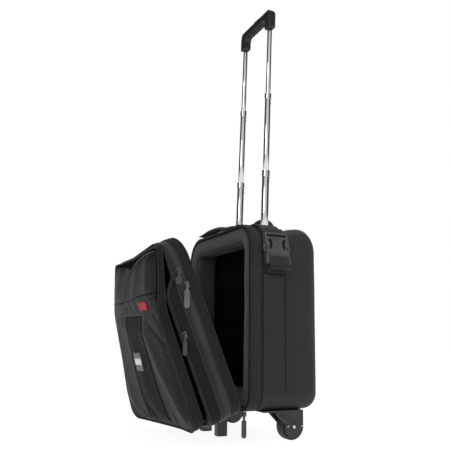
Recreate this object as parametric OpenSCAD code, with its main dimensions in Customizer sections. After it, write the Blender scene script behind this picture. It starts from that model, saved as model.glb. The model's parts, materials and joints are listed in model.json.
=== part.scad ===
// Rolling flight case: soft-sided padded case on two wheels, with a hinged front lid,
// a three-stage pull handle, two grab handles and a buckled strap on each side.
// X is across the case, Y runs from the lid to the back, Z is up from the floor.

/* [Case] */
// Outside width of the case
body_w = 356; // [320:1:380]
// Outside height of the case, without wheels
body_h = 418; // [390:1:460]
// Depth of the case behind the lid
body_d = 181; // [170:1:200]
// Height of the case's underside above the floor
base_z = 66; // [62:1:72]
// Corner radius at the top of the front outline
corner_top = 60; // [40:1:75]
// Corner radius at the bottom of the front outline
corner_bottom = 38; // [25:1:60]
// Radius of the rear edges
rear_edge = 28; // [15:1:34]
// Thickness of the fabric wall with its stiffener
wall = 5; // [3:0.5:7]
// Width of the padded border around the mouth
border = 42; // [30:1:50]
// Depth of the main compartment
compartment_d = 62; // [50:1:62]

/* [Lid] */
// Angle that the lid stands open at rest
lid_rest = 22.5; // [10:0.5:25]
// Thickness of the lid's tray
tray_t = 43; // [35:1:45]
// Thickness of the organiser section in front of the tray
organiser_t = 32; // [20:1:36]
// Thickness of the black bellows behind the front pocket
gusset_t = 17; // [10:1:20]
// Thickness of the front pocket
pocket_t = 20; // [12:1:24]

/* [Pull handle] */
// Half of the distance between the two poles
pole_x = 70; // [60:1:80]
// Distance of the poles behind the case's front plane
pole_y = 94; // [92:1:100]
// Backward lean of the poles in degrees
pole_lean = 1.65; // [0:0.05:2]
// Height of the top of the first stage
stage_a_top = 643; // [600:1:660]
// Height of the top of the second stage
stage_b_top = 854; // [800:1:870]
// Height of the underside of the grip's legs
grip_low = 1042; // [1000:1:1060]
// Height of the top of the grip
grip_top = 1100; // [1090:1:1130]

/* [Wheels] */
// Wheel radius
wheel_r = 30; // [26:1:30]
// Wheel width
wheel_w = 24; // [18:1:26]
// Distance of the wheel's middle from the case's middle
wheel_x = 148; // [140:1:150]
// Distance of the wheel's axle behind the case's front plane
wheel_y = 118; // [105:1:120]

/* [Straps] */
// Width of the webbing
webbing_w = 50; // [38:1:52]
// Distance of the strap's middle behind the case's front plane
strap_y = 59; // [55:1:65]

/* [Hidden] */
$fn = 48;

eps = 0.2;
body_top = base_z + body_h;
side_x = body_w / 2;
mouth_w = body_w - 2 * border;
mouth_h = body_h - 2 * border;
mouth_r = 22;
// Where the space for the pull handle starts, behind the main compartment
divider_y = compartment_d + 8;

// The lid turns about a line below the mouth's lower edge, where its fabric hinge is sewn.
hinge_y = -5;
hinge_z = 47;
rim_gap = 5;
tray_front = rim_gap + tray_t;
organiser_front = tray_front + 2 + organiser_t;
gusset_front = organiser_front + 2 + gusset_t;
pocket_front = gusset_front + pocket_t;
// Heights above the case's underside at which the lid's front steps back
knee_low = 267;
knee_high = 308;
lid_crest = 391;

// Furthest points forward and back set the shift that centres the case on the origin.
crest_back = 47;
front_reach = hinge_y + (crest_back - pocket_front - hinge_y) * cos(lid_rest)
    - (base_z + lid_crest - hinge_z) * sin(lid_rest);
shift_y = -(front_reach + body_d) / 2;

// Tube radii from the inside out, with a sliding gap between one stage and the next
tube_wall = 1.2;
tube_gap = 0.3;
stage_c_r = 6.3;
stage_b_r = stage_c_r + tube_gap + tube_wall;
stage_a_r = stage_b_r + tube_gap + tube_wall;
outer_r = stage_a_r + tube_gap + tube_wall;
stage_overlap = 60;
// Foot of the outer tubes, and where the leaning tubes meet the bridge
tube_foot = base_z + 34;
bridge_y = pole_y - (body_h - 30) * tan(pole_lean);
bezel_t = 9;
bezel_z = body_top;
collar_h = 14;

strap_t = 1.6;
tape_t = 1.2;
buckle_w = 62;
buckle_t = 12;

fabric = [0.10, 0.10, 0.11];
fabric_soft = [0.17, 0.17, 0.18];
leatherette = [0.13, 0.13, 0.14];
lining = [0.06, 0.06, 0.07];
plastic = [0.08, 0.08, 0.08];
plastic_grey = [0.22, 0.22, 0.23];
rubber_grey = [0.33, 0.33, 0.34];
steel = [0.75, 0.76, 0.78];

// ---------- shared shapes ----------

// Front outline of the case, drawn from its underside up, grown by g on every side
module outline(w, h, rt, rb, g = 0) {
    translate([-w / 2 - g, rb]) square([w + 2 * g, h - rt - rb]);
    translate([-w / 2 + rt, h / 2]) square([w - 2 * rt, h / 2 + g]);
    translate([-w / 2 + rb, -g]) square([w - 2 * rb, h / 2 + g]);
    for (s = [-1, 1]) {
        translate([s * (w / 2 - rt), h - rt]) circle(rt + g);
        translate([s * (w / 2 - rb), rb]) circle(rb + g);
    }
}

module case_outline(g = 0) {
    outline(body_w, body_h, corner_top, corner_bottom, g);
}

// A flat shape in X and Z, made solid from y0 to y1
module across(y0, y1) {
    translate([0, y1, 0]) rotate([90, 0, 0]) linear_extrude(y1 - y0) children();
}

// The same, standing on the case's underside
module at_base(y0, y1) {
    translate([0, 0, base_z]) across(y0, y1) children();
}

// A flat shape in Y and Z, made solid from x0 to x1
module sideways(x0, x1) {
    translate([x0, 0, 0]) rotate([90, 0, 90]) linear_extrude(x1 - x0) children();
}

// A band around the case's outline, from g0 to g1 outside it
module ring(y0, y1, g0, g1) {
    at_base(y0, y1) difference() {
        case_outline(g1);
        case_outline(g0);
    }
}

module rounded_box(size, r) {
    linear_extrude(size[2]) rounded_plan(size[0], size[1], r);
}

module rounded_plan(w, d, r) {
    translate([-w / 2 + r, -d / 2]) square([w - 2 * r, d]);
    translate([-w / 2, -d / 2 + r]) square([w, d - 2 * r]);
    for (x = [-1, 1], y = [-1, 1]) translate([x * (w / 2 - r), y * (d / 2 - r)]) circle(r);
}

module mirrored() {
    children();
    mirror([1, 0, 0]) children();
}

// s is 1 on the right and -1 on the left
module side(s) {
    if (s > 0) children();
    else mirror([1, 0, 0]) children();
}

// The case stands here, with the middle of its whole depth over the origin
module placed() {
    translate([0, shift_y, 0]) children();
}

// The lid is drawn closed and turned open to its rest angle
module lid_open() {
    placed() translate([0, hinge_y, hinge_z]) rotate([lid_rest, 0, 0])
        translate([0, -hinge_y, -hinge_z]) children();
}

// The poles lean back about the point where they leave the case
module leaning() {
    placed() lean_in_case() children();
}

module lean_in_case() {
    translate([0, pole_y, bezel_z]) rotate([-pole_lean, 0, 0]) translate([0, -pole_y, -bezel_z]) children();
}

module at_poles() {
    for (s = [-1, 1]) translate([s * pole_x, pole_y, 0]) children();
}

module tube(r, low, high) {
    translate([0, 0, low]) difference() {
        cylinder(r = r, h = high - low);
        translate([0, 0, -1]) cylinder(r = r - tube_wall, h = high - low + 2);
    }
}

// ---------- case ----------

module case_block(g) {
    y0 = 0;
    y1 = body_d + g;
    r = rear_edge + g;
    intersection() {
        at_base(y0, y1) case_outline(g);
        translate([0, 0, base_z - g]) linear_extrude(body_h + 2 * g) rear_rounded(side_x + g, y0, y1, r);
        sideways(-side_x - g, side_x + g) mirror([1, 0]) rotate(90) translate([base_z + body_h / 2, 0])
            rear_rounded(body_h / 2 + g, y0, y1, r);
    }
}

// A rectangle from -half to half in x and from y0 to y1, with its two far corners rounded
module rear_rounded(half, y0, y1, r) {
    translate([-half, y0]) square([2 * half, y1 - y0 - r]);
    translate([-half + r, y0]) square([2 * half - 2 * r, y1 - y0]);
    for (s = [-1, 1]) translate([s * (half - r), y1 - r]) circle(r);
}

module compartment(y0, y1, g = 0) {
    translate([0, 0, border]) at_base(y0, y1) outline(mouth_w, mouth_h, mouth_r, mouth_r, g);
}

module case_shell() {
    color(fabric) placed() difference() {
        case_block(0);
        at_base(-1, compartment_d + 4 + eps) case_outline(-wall);
        intersection() {
            at_base(divider_y, body_d + 5) case_outline(-wall);
            case_block(-wall);
        }
        leaning_cut();
    }
}

// Holes in the shell's roof for the outer tubes
module leaning_cut() {
    lean_in_case() at_poles() translate([0, 0, body_top - 20]) cylinder(r = outer_r + 0.4, h = 40);
}

module foam_frame() {
    color(fabric_soft) placed() difference() {
        at_base(0, compartment_d + 4) case_outline(-wall - eps);
        compartment(-1, compartment_d + 10);
    }
}

module back_pad() {
    color(lining) placed() compartment(compartment_d - 6, compartment_d + 4, -eps);
}

module body_piping() {
    color(fabric) placed() ring(-4, -0.2, -4, 1.6);
}

module body_zip_tape() {
    color(fabric_soft) placed() {
        ring(3, 12, 0, tape_t);
        ring(13.5, 15.5, 0, tape_t);
    }
}

module seam_piping() {
    color(fabric) placed() intersection() {
        ring(88, 90.5, 0.1, 1.2);
        for (s = [-1, 1]) translate([s * (side_x - 27) - 32, 80, base_z + corner_bottom]) cube([64, 20, body_h]);
    }
}

module base_plate() {
    color(plastic) placed() difference() {
        translate([0, 94, base_z - 4]) rounded_box([248, 150, 3.8], 14);
        for (y = [55, 125]) translate([0, y, base_z - 5]) rounded_box([150, 34, 3], 8);
    }
}

foot_x = 43;
foot_y = -5;
module front_feet() {
    color(plastic) placed() for (s = [-1, 1]) translate([s * foot_x, foot_y, 0]) {
        rounded_box([23, 25, 54], 4);
        translate([0, 4, 50]) rounded_box([19, 17, base_z - 4.2 - 50], 3);
    }
}

module hinge_strip() {
    color(fabric) placed() translate([-115, -4.6, base_z - 3.8]) cube([230, 17, 2.2]);
}

// ---------- wheels ----------

plate_t = 4;
plate_gap = 3;
plate_in = wheel_x - wheel_w / 2 - plate_gap - plate_t;
plate_out = wheel_x + wheel_w / 2 + plate_gap;
housing_r = wheel_r - 6;
flange_z = base_z - 4;
flange_y0 = 40;
flange_y1 = 142;

// A cheek of the bracket: a round housing at the axle with a sloping front edge up to the flange
module bracket_plate() {
    front = wheel_y - housing_r;
    translate([wheel_y, wheel_r]) circle(housing_r);
    polygon([[flange_y0 + 32, flange_z], [flange_y0 + 32, flange_z - 4], [front + 1, wheel_r + 5], [front, wheel_r],
        [wheel_y + housing_r, wheel_r], [wheel_y + housing_r, flange_z]]);
}

module wheel_bracket(s) {
    color(plastic) placed() side(s) difference() {
        union() {
            for (x = [plate_in, plate_out]) sideways(x, x + plate_t) bracket_plate();
            translate([plate_in - 2, flange_y0, flange_z - 0.01])
                cube([plate_out + plate_t - plate_in + 2, flange_y1 - flange_y0, 3.8]);
        }
        // the recess between the ribs of the outer plate
        sideways(plate_out + plate_t - 1.5, plate_out + plate_t + 1) polygon([[flange_y0 + 41, flange_z - 3],
            [flange_y0 + 52, flange_z - 3], [wheel_y + 6, wheel_r + 9], [wheel_y - 6, wheel_r + 8]]);
        translate([plate_in - 5, wheel_y, wheel_r]) rotate([0, 90, 0]) cylinder(r = 4.05, h = 60);
    }
}

module wheel_axles() {
    color(steel) placed() mirrored() translate([plate_in - 2.5, wheel_y, wheel_r]) rotate([0, 90, 0]) {
        cylinder(r = 4, h = plate_out + plate_t - plate_in + 2.5);
        cylinder(r = 6.5, h = 2.2);
        translate([0, 0, plate_out + plate_t - plate_in + 2.5]) cylinder(r1 = 4, r2 = 2.8, h = 0.9);
    }
}

module wheel_at(s) {
    placed() translate([s * wheel_x, wheel_y, wheel_r]) rotate([0, 90, 0]) children();
}

bearing_r = 11;
bearing_w = 7;
module wheel_hub(s) {
    color(plastic_grey) wheel_at(s) difference() {
        union() {
            translate([0, 0, -wheel_w / 2 + 1]) cylinder(r = 14, h = wheel_w - 2);
            translate([0, 0, -wheel_w / 2 + 3]) cylinder(r = 21, h = wheel_w - 6);
        }
        translate([0, 0, -wheel_w]) cylinder(r = 6, h = 2 * wheel_w);
        for (z = [-1, 1]) translate([0, 0, z * (wheel_w / 2 - bearing_w / 2 - 1) - bearing_w / 2 - (z < 0 ? 1 : 0)])
            cylinder(r = bearing_r, h = bearing_w + 1);
    }
}

module wheel_tyre(s) {
    color([0.05, 0.05, 0.05]) wheel_at(s) rotate_extrude() difference() {
        union() {
            translate([21, -wheel_w / 2 + 4]) square([wheel_r - 21, wheel_w - 8]);
            translate([21, -wheel_w / 2]) square([wheel_r - 25, wheel_w]);
            for (z = [-1, 1]) translate([wheel_r - 4, z * (wheel_w / 2 - 4)]) circle(4);
        }
        translate([0, -wheel_w]) square([21, 2 * wheel_w]);
    }
}

module wheel_bearings(s) {
    color(steel) wheel_at(s) for (z = [-1, 1])
        translate([0, 0, z * (wheel_w / 2 - bearing_w / 2 - 1) - bearing_w / 2]) difference() {
            cylinder(r = bearing_r, h = bearing_w);
            translate([0, 0, -1]) cylinder(r = 4.05, h = bearing_w + 2);
        }
}

// Rivets through the bracket's outer plate and the rivet below each buckle
rivet_r = 2.2;
module fasteners() {
    color(steel) placed() mirrored() {
        for (y = [-16, 20]) translate([plate_out + plate_t, wheel_y + y, wheel_r + 1]) rotate([0, 90, 0])
            cylinder(r1 = rivet_r, r2 = rivet_r * 0.7, h = 1.2);
        translate([side_x + strap_t, strap_y - 9, body_top - 118]) rotate([0, 90, 0])
            cylinder(r1 = 3, r2 = 2.2, h = 1.4);
    }
}

// ---------- pull handle ----------

module handle_bezel() {
    color(plastic) placed() difference() {
        union() {
            translate([0, pole_y + 6, bezel_z]) rounded_box([212, 62, 5], 14);
            translate([0, pole_y, bezel_z]) rounded_box([186, 38, bezel_t], 12);
        }
        at_bezel_holes();
    }
}

module at_bezel_holes() {
    lean_in_case() at_poles() translate([0, 0, bezel_z - 20]) {
        cylinder(r = stage_a_r + 0.35, h = 60);
        cylinder(r = outer_r + 0.4, h = 22);
    }
}

module outer_tubes() {
    color(steel) leaning() at_poles() tube(outer_r, tube_foot, bezel_z + 1.5);
}

module bottom_bridge() {
    color(plastic) placed() difference() {
        translate([0, bridge_y, base_z + wall + eps]) rounded_box([186, 24, 40], 8);
        translate([0, bridge_y, base_z + wall + 9]) rounded_box([104, 14, 40], 5);
        lean_in_case() at_poles() translate([0, 0, tube_foot - 0.5]) cylinder(r = outer_r + 0.05, h = 60);
    }
}

module stage_a_tubes() {
    color(steel) leaning() at_poles() tube(stage_a_r, body_top - stage_overlap, stage_a_top);
}

module stage_b_tubes() {
    color(steel) leaning() at_poles() tube(stage_b_r, stage_a_top - stage_overlap, stage_b_top);
}

module stage_c_tubes() {
    color(steel) leaning() at_poles() tube(stage_c_r, stage_b_top - stage_overlap, grip_low + grip_socket);
}

// A collar caps a stage's top end and guides the next stage
module collar(r, top, guide) {
    translate([0, 0, top - collar_h]) difference() {
        cylinder(r = r + 0.9, h = collar_h + 1.6);
        translate([0, 0, -1]) cylinder(r = r, h = collar_h + 1);
        translate([0, 0, -1]) cylinder(r = guide + tube_gap, h = collar_h + 4);
    }
}

module stage_a_collars() {
    color(steel) leaning() at_poles() collar(stage_a_r, stage_a_top, stage_b_r);
}

module stage_b_collars() {
    color(steel) leaning() at_poles() collar(stage_b_r, stage_b_top, stage_c_r);
}

grip_half = pole_x + 13;
grip_d = 20;
grip_bar = 26;
grip_leg = 26;
grip_shoulder = 22;
grip_inner_r = 12;
grip_foot_r = 4;
grip_socket = 26;
// Height of the underside of the grip's bar
grip_under = grip_top - grip_bar;
// The grip is an upside-down U with round shoulders
module grip_profile() {
    gap_half = grip_half - grip_leg;
    difference() {
        union() {
            translate([-grip_half + grip_shoulder, grip_low + grip_foot_r])
                square([2 * (grip_half - grip_shoulder), grip_top - grip_low - grip_foot_r]);
            translate([-grip_half, grip_low + grip_foot_r])
                square([2 * grip_half, grip_top - grip_low - grip_foot_r - grip_shoulder]);
            for (s = [-1, 1]) {
                translate([s * (grip_half - grip_shoulder), grip_top - grip_shoulder]) circle(grip_shoulder);
                translate([s * (grip_half - grip_leg / 2) - grip_leg / 2 + grip_foot_r, grip_low])
                    square([grip_leg - 2 * grip_foot_r, 2 * grip_foot_r]);
                for (e = [-1, 1])
                    translate([s * (grip_half - grip_leg / 2) + e * (grip_leg / 2 - grip_foot_r),
                        grip_low + grip_foot_r]) circle(grip_foot_r);
            }
        }
        translate([-gap_half, grip_low + grip_foot_r - eps])
            square([2 * gap_half, grip_under - grip_inner_r - grip_low - grip_foot_r + eps]);
        translate([-gap_half + grip_inner_r, grip_low + grip_foot_r - eps])
            square([2 * (gap_half - grip_inner_r), grip_under - grip_low - grip_foot_r + eps]);
        for (s = [-1, 1]) translate([s * (gap_half - grip_inner_r), grip_under - grip_inner_r]) circle(grip_inner_r);
    }
}

module grip() {
    color(plastic) leaning() translate([0, pole_y, 0]) difference() {
        intersection() {
            across(-grip_d / 2, grip_d / 2) grip_profile();
            sideways(-grip_half, grip_half) translate([0, grip_low - 1]) grip_side(grip_top - grip_low + 1);
        }
        for (s = [-1, 1]) translate([s * pole_x, 0, grip_low - 1]) cylinder(r = stage_c_r, h = grip_socket + 1);
        translate([0, 0, grip_top - 9]) rounded_box([34.8, 11.8, 20], 5);
        translate([0, 0, grip_top - 16]) rounded_box([28, 7.4, 20], 3.2);
        across(-pad_d / 2, pad_d / 2) translate([-pad_half, grip_under - 1]) square([2 * pad_half, 3]);
    }
}

module grip_side(h) {
    edge = 9;
    translate([-grip_d / 2, 0]) square([grip_d, h - edge]);
    translate([-grip_d / 2 + edge, 0]) square([grip_d - 2 * edge, h]);
    for (s = [-1, 1]) translate([s * (grip_d / 2 - edge), h - edge]) circle(edge);
}

pad_half = 36;
pad_d = 13;
// Ribbed rubber pad let into the underside of the bar
module grip_pad() {
    color([0.05, 0.05, 0.05]) leaning() translate([0, pole_y, grip_under - 1]) {
        translate([-pad_half + 0.2, -pad_d / 2 + 0.2, 0]) cube([2 * pad_half - 0.4, pad_d - 0.4, 2.9]);
        for (i = [-4:4]) translate([i * 7 - 1.5, -5.5, -1.8]) cube([3, 11, 2.2]);
    }
}

button_travel = 4;
module release_button() {
    color(plastic_grey) leaning() translate([0, pole_y, grip_top - 2.8]) {
        rounded_box([34, 11, 4], 4.6);
        translate([0, 0, -7]) rounded_box([26, 6, 8], 2.6);
    }
}

// ---------- grab handles ----------

front_handle_half = 112;
front_handle_y = 17;
front_handle_rise = 15;
rear_handle_half = 74;
rear_handle_y = pole_y + 30;
rear_handle_rise = 39;

// A flat strip bent up into an arch between two flat ends
function arch_r(half, rise) = (half * half + rise * rise) / (2 * rise);
module arch(half, rise, t) {
    r = arch_r(half, rise);
    intersection() {
        translate([0, rise - r]) difference() {
            circle(r, $fn = 120);
            circle(r - t, $fn = 120);
        }
        translate([-half, 0]) square([2 * half, rise + 1]);
    }
}

module front_grab_handle() {
    color(fabric) placed() translate([0, 0, body_top + 3.3])
        across(front_handle_y - 14, front_handle_y + 14) arch(front_handle_half, front_handle_rise, 6);
}

module rear_grab_handle() {
    color(fabric) placed() translate([0, 0, body_top + 5.2])
        across(rear_handle_y - 9, rear_handle_y + 9) arch(rear_handle_half, rear_handle_rise, 9);
}

module handle_tabs() {
    color(fabric) placed() mirrored() {
        translate([front_handle_half - 6, front_handle_y, body_top + tape_t]) rounded_box([36, 32, 2], 3);
        translate([rear_handle_half - 4, rear_handle_y + 3, body_top + 5]) rounded_box([18, 20, 0.2], 3);
    }
}

// ---------- straps and buckles ----------

// Webbing that follows the case's outline on one side, between two heights, from g0 to g1 outside it
module strap_path(g0, g1) {
    intersection() {
        difference() {
            case_outline(g1);
            case_outline(g0);
        }
        children();
    }
}

module side_straps() {
    color(fabric) placed() mirrored() at_base(strap_y - 27, strap_y + 27) strap_path(0.1, strap_t)
        translate([side_x - 20, corner_bottom + 2]) square([40, body_h - 150]);
}

module top_straps() {
    color(fabric) placed() mirrored() at_base(strap_y - webbing_w / 2, strap_y + webbing_w / 2) {
        strap_path(0.1, 1.8) polygon([[108, body_h - 4], [108, body_h + 9], [side_x + 9, body_h + 9],
            [side_x + 9, body_h - 42], [side_x - 8, body_h - 42]]);
    }
}

// The buckle hangs where the outline's top corner turns down the side.
buckle_tilt = 10;
buckle_x = side_x - 3.5;
buckle_z = body_top - 34;
module at_buckle() {
    translate([buckle_x, strap_y + 2, buckle_z]) rotate([0, -buckle_tilt, 0]) children();
}

// Drawn flat with its face towards +X, its length down -Z, and its width along Y
module buckle_socket_shape() {
    difference() {
        union() {
            translate([2.2, -buckle_w / 2, -42]) cube([buckle_t, buckle_w, 42]);
            translate([2.2, -buckle_w / 2, -2]) cube([6, buckle_w, 12]);
        }
        translate([0, -webbing_w / 2, 0.5]) cube([20, webbing_w, 5]);
        // channel that the plug's prongs and tongue slide in
        translate([5, -buckle_w / 2 + 3, -50]) cube([6.4, buckle_w - 6, 44]);
        for (s = [-1, 1]) translate([0, s * 21, -16]) rotate([0, 90, 0]) scale([1, 0.6, 1]) cylinder(r = 9, h = 30);
        for (s = [-1, 1]) translate([1, s * 31, -28]) cube([30, 9, 17], center = true);
    }
}

module buckle_plug_shape() {
    translate([5.4, -buckle_w / 2 + 3.4, -40]) cube([5.6, 6, 26]);
    translate([5.4, buckle_w / 2 - 9.4, -40]) cube([5.6, 6, 26]);
    translate([5.4, -11, -41]) cube([5.6, 22, 31]);
    difference() {
        translate([2.4, -buckle_w / 2, -64]) cube([buckle_t + 1.2, buckle_w, 21.6]);
        translate([0, -webbing_w / 2 - 0.5, -49]) cube([20, webbing_w + 1, 2.6]);
        translate([0, -webbing_w / 2 - 0.5, -61]) cube([20, webbing_w + 1, 4]);
    }
    for (s = [-1, 1]) translate([5.4, s * (buckle_w / 2 - 6.4) - 3, -44]) cube([5.6, 6, 8]);
}

module buckle_socket(s) {
    color(plastic_grey) placed() side(s) at_buckle() buckle_socket_shape();
}

module buckle_plug(s) {
    color(plastic_grey) placed() side(s) at_buckle() buckle_plug_shape();
}

// The webbing that goes through the plug's ladder and folds back over it
module strap_tail(s) {
    color(fabric) placed() side(s) at_buckle() {
        translate([0.2, -webbing_w / 2, -84]) cube([2, webbing_w, 37.4]);
        translate([0.2, -webbing_w / 2, -48.6]) cube([17.2, webbing_w, 2]);
        translate([15.8, -webbing_w / 2, -74]) cube([2, webbing_w, 27.4]);
    }
}

// ---------- lid ----------

// One layer of the lid between two faces. A face is its distance in front of the case
// at the underside, at the two knees and at the crest.
module layer(back, front, crest) {
    heights = [-5, knee_low, knee_high, crest];
    sideways(-side_x - 5, side_x + 5) polygon(concat(
        [for (i = [0:3]) [-front[i], base_z + heights[i]]],
        [for (i = [3:-1:0]) [-back[i], base_z + heights[i]]]));
}

function grown(face, g) = [for (v = face) v + g];
tray_face = [tray_front, tray_front, tray_front, tray_front];
organiser_face = [organiser_front, organiser_front, organiser_front - 8, tray_front + 10];
gusset_face = [gusset_front, gusset_front - 6, gusset_front - 19, tray_front + 15];
pocket_face = [pocket_front, pocket_front - 7, pocket_front - 24, pocket_front - crest_back];

module lid_tray() {
    color(fabric) lid_open() difference() {
        at_base(-tray_front, -rim_gap - 4.2) case_outline(0);
        at_base(-tray_front + wall, 0) case_outline(-wall);
    }
}

module lid_lining() {
    color(lining) lid_open() at_base(-tray_front + wall + eps, -tray_front + wall + 8) case_outline(-wall - eps);
}

module lid_piping() {
    color(fabric) lid_open() {
        ring(-rim_gap - 4, -rim_gap, -4, 1.6);
        ring(-rim_gap - 12, -rim_gap - 9, 0, 1.2);
        ring(-rim_gap - 17, -rim_gap - 15, 0, 1.2);
    }
}

module tray_zip_tape() {
    color(fabric_soft) lid_open() ring(-tray_front, -tray_front + 8, 0, tape_t);
}

module organiser_shell() {
    color(fabric) lid_open() difference() {
        intersection() {
            at_base(-organiser_front, -tray_front) outline(body_w, lid_crest + 10, corner_top, corner_bottom);
            layer(grown(tray_face, eps), organiser_face, lid_crest + 15);
        }
        translate([0, 0, 4]) intersection() {
            at_base(-organiser_front, -tray_front) outline(body_w - 8, lid_crest, corner_top - 4, corner_bottom - 4);
            layer(grown(tray_face, 3), grown(organiser_face, -3), lid_crest + 15);
        }
    }
}

module pocket_zip_tape() {
    zip_y = organiser_front + 0.2;
    color(fabric_soft) lid_open() difference() {
        at_base(-zip_y - 2, -zip_y) outline(body_w, knee_low, corner_top, corner_bottom);
        at_base(-zip_y - 3, -zip_y + 1) translate([0, 8]) outline(body_w - 16, knee_low - 16, corner_top - 8,
            corner_bottom - 8);
    }
}

module pocket_gusset() {
    color(lining) lid_open() difference() {
        intersection() {
            at_base(-gusset_front, -tray_front - 5) translate([0, 8]) outline(body_w - 24, lid_crest - 12, 40, 30);
            layer(grown(organiser_face, 2.6), grown(gusset_face, -eps), lid_crest);
        }
        at_base(-gusset_front - 5, -tray_front - 5) translate([0, 20])
            outline(body_w - 48, lid_crest - 36, 28, 18);
    }
}

module pocket_shell() {
    color(leatherette) lid_open() difference() {
        intersection() {
            at_base(-pocket_front, -tray_front - 5) outline(body_w, lid_crest, 14, 34);
            layer(gusset_face, pocket_face, lid_crest);
        }
        intersection() {
            at_base(-pocket_front, -tray_front - 5) translate([0, 4]) outline(body_w - 8, lid_crest - 8, 12, 30);
            layer(grown(gusset_face, 3), grown(pocket_face, -3), lid_crest);
        }
    }
}

// A strip that lies on the pocket's front, from g0 to g1 off it, over a flat shape
module on_pocket(g0, g1) {
    intersection() {
        at_base(-pocket_front - 5, -tray_front) children();
        layer(grown(pocket_face, g0), grown(pocket_face, g1), lid_crest);
    }
}

module pocket_band() {
    color(leatherette) lid_open() on_pocket(0, 1.4) translate([-side_x + 1, knee_low + 2]) square([body_w - 2, 38]);
}

module centre_strip() {
    color(fabric) lid_open() on_pocket(0, 0.8)
        polygon([[-78, knee_low + 1.5], [38, knee_low + 1.5], [38, 20], [-78, 20]]);
}

module pocket_labels() {
    color([0.75, 0.75, 0.75]) lid_open() {
        on_pocket(0.8, 1.8) translate([-62, 120]) square([38, 40]);
        on_pocket(1.4, 2.4) translate([40, knee_low + 10]) square([56, 20]);
    }
}

// ---------- zip sliders and pulls ----------

pin_r = 1.3;
pull_gap = 0.08;

// A slider on the case's side: its pin points along +X, and x0 is the surface that it sits on
module slider(x0, y, z, tilt) {
    translate([x0, y, z]) {
        rotate([tilt, 0, 0]) translate([0, -5, -7]) cube([2.6, 10, 14]);
        rotate([0, 90, 0]) cylinder(r = pin_r, h = 7);
        translate([6, 0, 0]) rotate([0, 90, 0]) cylinder(r = 2.4, h = 1);
    }
}

// A pull that hangs from its slider's pin
module pull(x0, y, z, w, l) {
    translate([x0 + 3, y, z]) difference() {
        union() {
            rotate([0, 90, 0]) cylinder(r = 4.2, h = 2.6);
            translate([0, -2.6, -14]) cube([2.6, 5.2, 14]);
            translate([0, -w / 2, -l + w / 2]) cube([2.6, w, l - w / 2 - 13]);
            translate([0, 0, -l + w / 2]) rotate([0, 90, 0]) cylinder(r = w / 2, h = 2.6);
        }
        translate([-1, 0, 0]) rotate([0, 90, 0]) cylinder(r = pin_r + pull_gap, h = 6);
    }
}

// A point on the lid, given as drawn closed, and where it is at rest
function at_rest(p) = [p[0], shift_y + hinge_y + (p[1] - hinge_y) * cos(lid_rest) - (p[2] - hinge_z) * sin(lid_rest),
    hinge_z + (p[1] - hinge_y) * sin(lid_rest) + (p[2] - hinge_z) * cos(lid_rest)];

tape_x = side_x + tape_t;
mouth_slider = [150, -2.4 + shift_y, base_z - 6.4];
tray_slider_high = at_rest([tape_x, -tray_front + 6, base_z + 335]);
tray_slider_low = at_rest([side_x, -tray_front + 14, base_z + 302]);
pocket_slider = at_rest([side_x, -organiser_front + 6, base_z + 205]);

module lid_slider(p) {
    slider(p[0], p[1], p[2], lid_rest);
}

module body_zip_sliders() {
    color(rubber_grey) mirrored() slider(mouth_slider[0], mouth_slider[1], mouth_slider[2], 90);
}

module lid_zip_sliders() {
    color(rubber_grey) for (p = [tray_slider_high, tray_slider_low, pocket_slider]) lid_slider(p);
}

module mouth_pull(s) {
    color(rubber_grey) side(s) pull(mouth_slider[0], mouth_slider[1], mouth_slider[2], 11, 50);
}

module tray_pull_short() {
    color(rubber_grey) pull(tray_slider_high[0], tray_slider_high[1], tray_slider_high[2], 14, 29);
}

module tray_pull_long() {
    color(rubber_grey) pull(tray_slider_low[0], tray_slider_low[1], tray_slider_low[2], 12, 50);
}

module pocket_pull() {
    color(rubber_grey) pull(pocket_slider[0], pocket_slider[1], pocket_slider[2], 9, 42);
}

// ---------- the nodes ----------

case_shell();
foam_frame();
back_pad();
body_piping();
body_zip_tape();
seam_piping();
base_plate();
front_feet();
hinge_strip();
fasteners();
wheel_bracket(-1);  // wheel_bracket_left
wheel_bracket(1);  // wheel_bracket_right
wheel_axles();
wheel_hub(-1);  // wheel_hub_left
wheel_hub(1);  // wheel_hub_right
wheel_tyre(-1);  // wheel_tyre_left
wheel_tyre(1);  // wheel_tyre_right
wheel_bearings(-1);  // wheel_bearings_left
wheel_bearings(1);  // wheel_bearings_right
handle_bezel();
outer_tubes();
bottom_bridge();
stage_a_tubes();
stage_a_collars();
stage_b_tubes();
stage_b_collars();
stage_c_tubes();
grip();
grip_pad();
release_button();
front_grab_handle();
rear_grab_handle();
handle_tabs();
side_straps();
top_straps();
buckle_socket(-1);  // buckle_socket_left
buckle_socket(1);  // buckle_socket_right
buckle_plug(-1);  // buckle_plug_left
buckle_plug(1);  // buckle_plug_right
strap_tail(-1);  // strap_tail_left
strap_tail(1);  // strap_tail_right
lid_tray();
lid_lining();
lid_piping();
organiser_shell();
tray_zip_tape();
pocket_zip_tape();
pocket_gusset();
pocket_shell();
pocket_band();
centre_strip();
pocket_labels();
body_zip_sliders();
lid_zip_sliders();
mouth_pull(-1);  // mouth_pull_left
mouth_pull(1);  // mouth_pull_right
tray_pull_short();
tray_pull_long();
pocket_pull();
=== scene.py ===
"""Looks of the rolling flight case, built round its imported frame. Metres, +Z up, lid towards -Y."""

import json
import math

import bmesh
import bpy
import numpy as np
from mathutils import Matrix, Vector, noise
from mathutils.bvhtree import BVHTree


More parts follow.
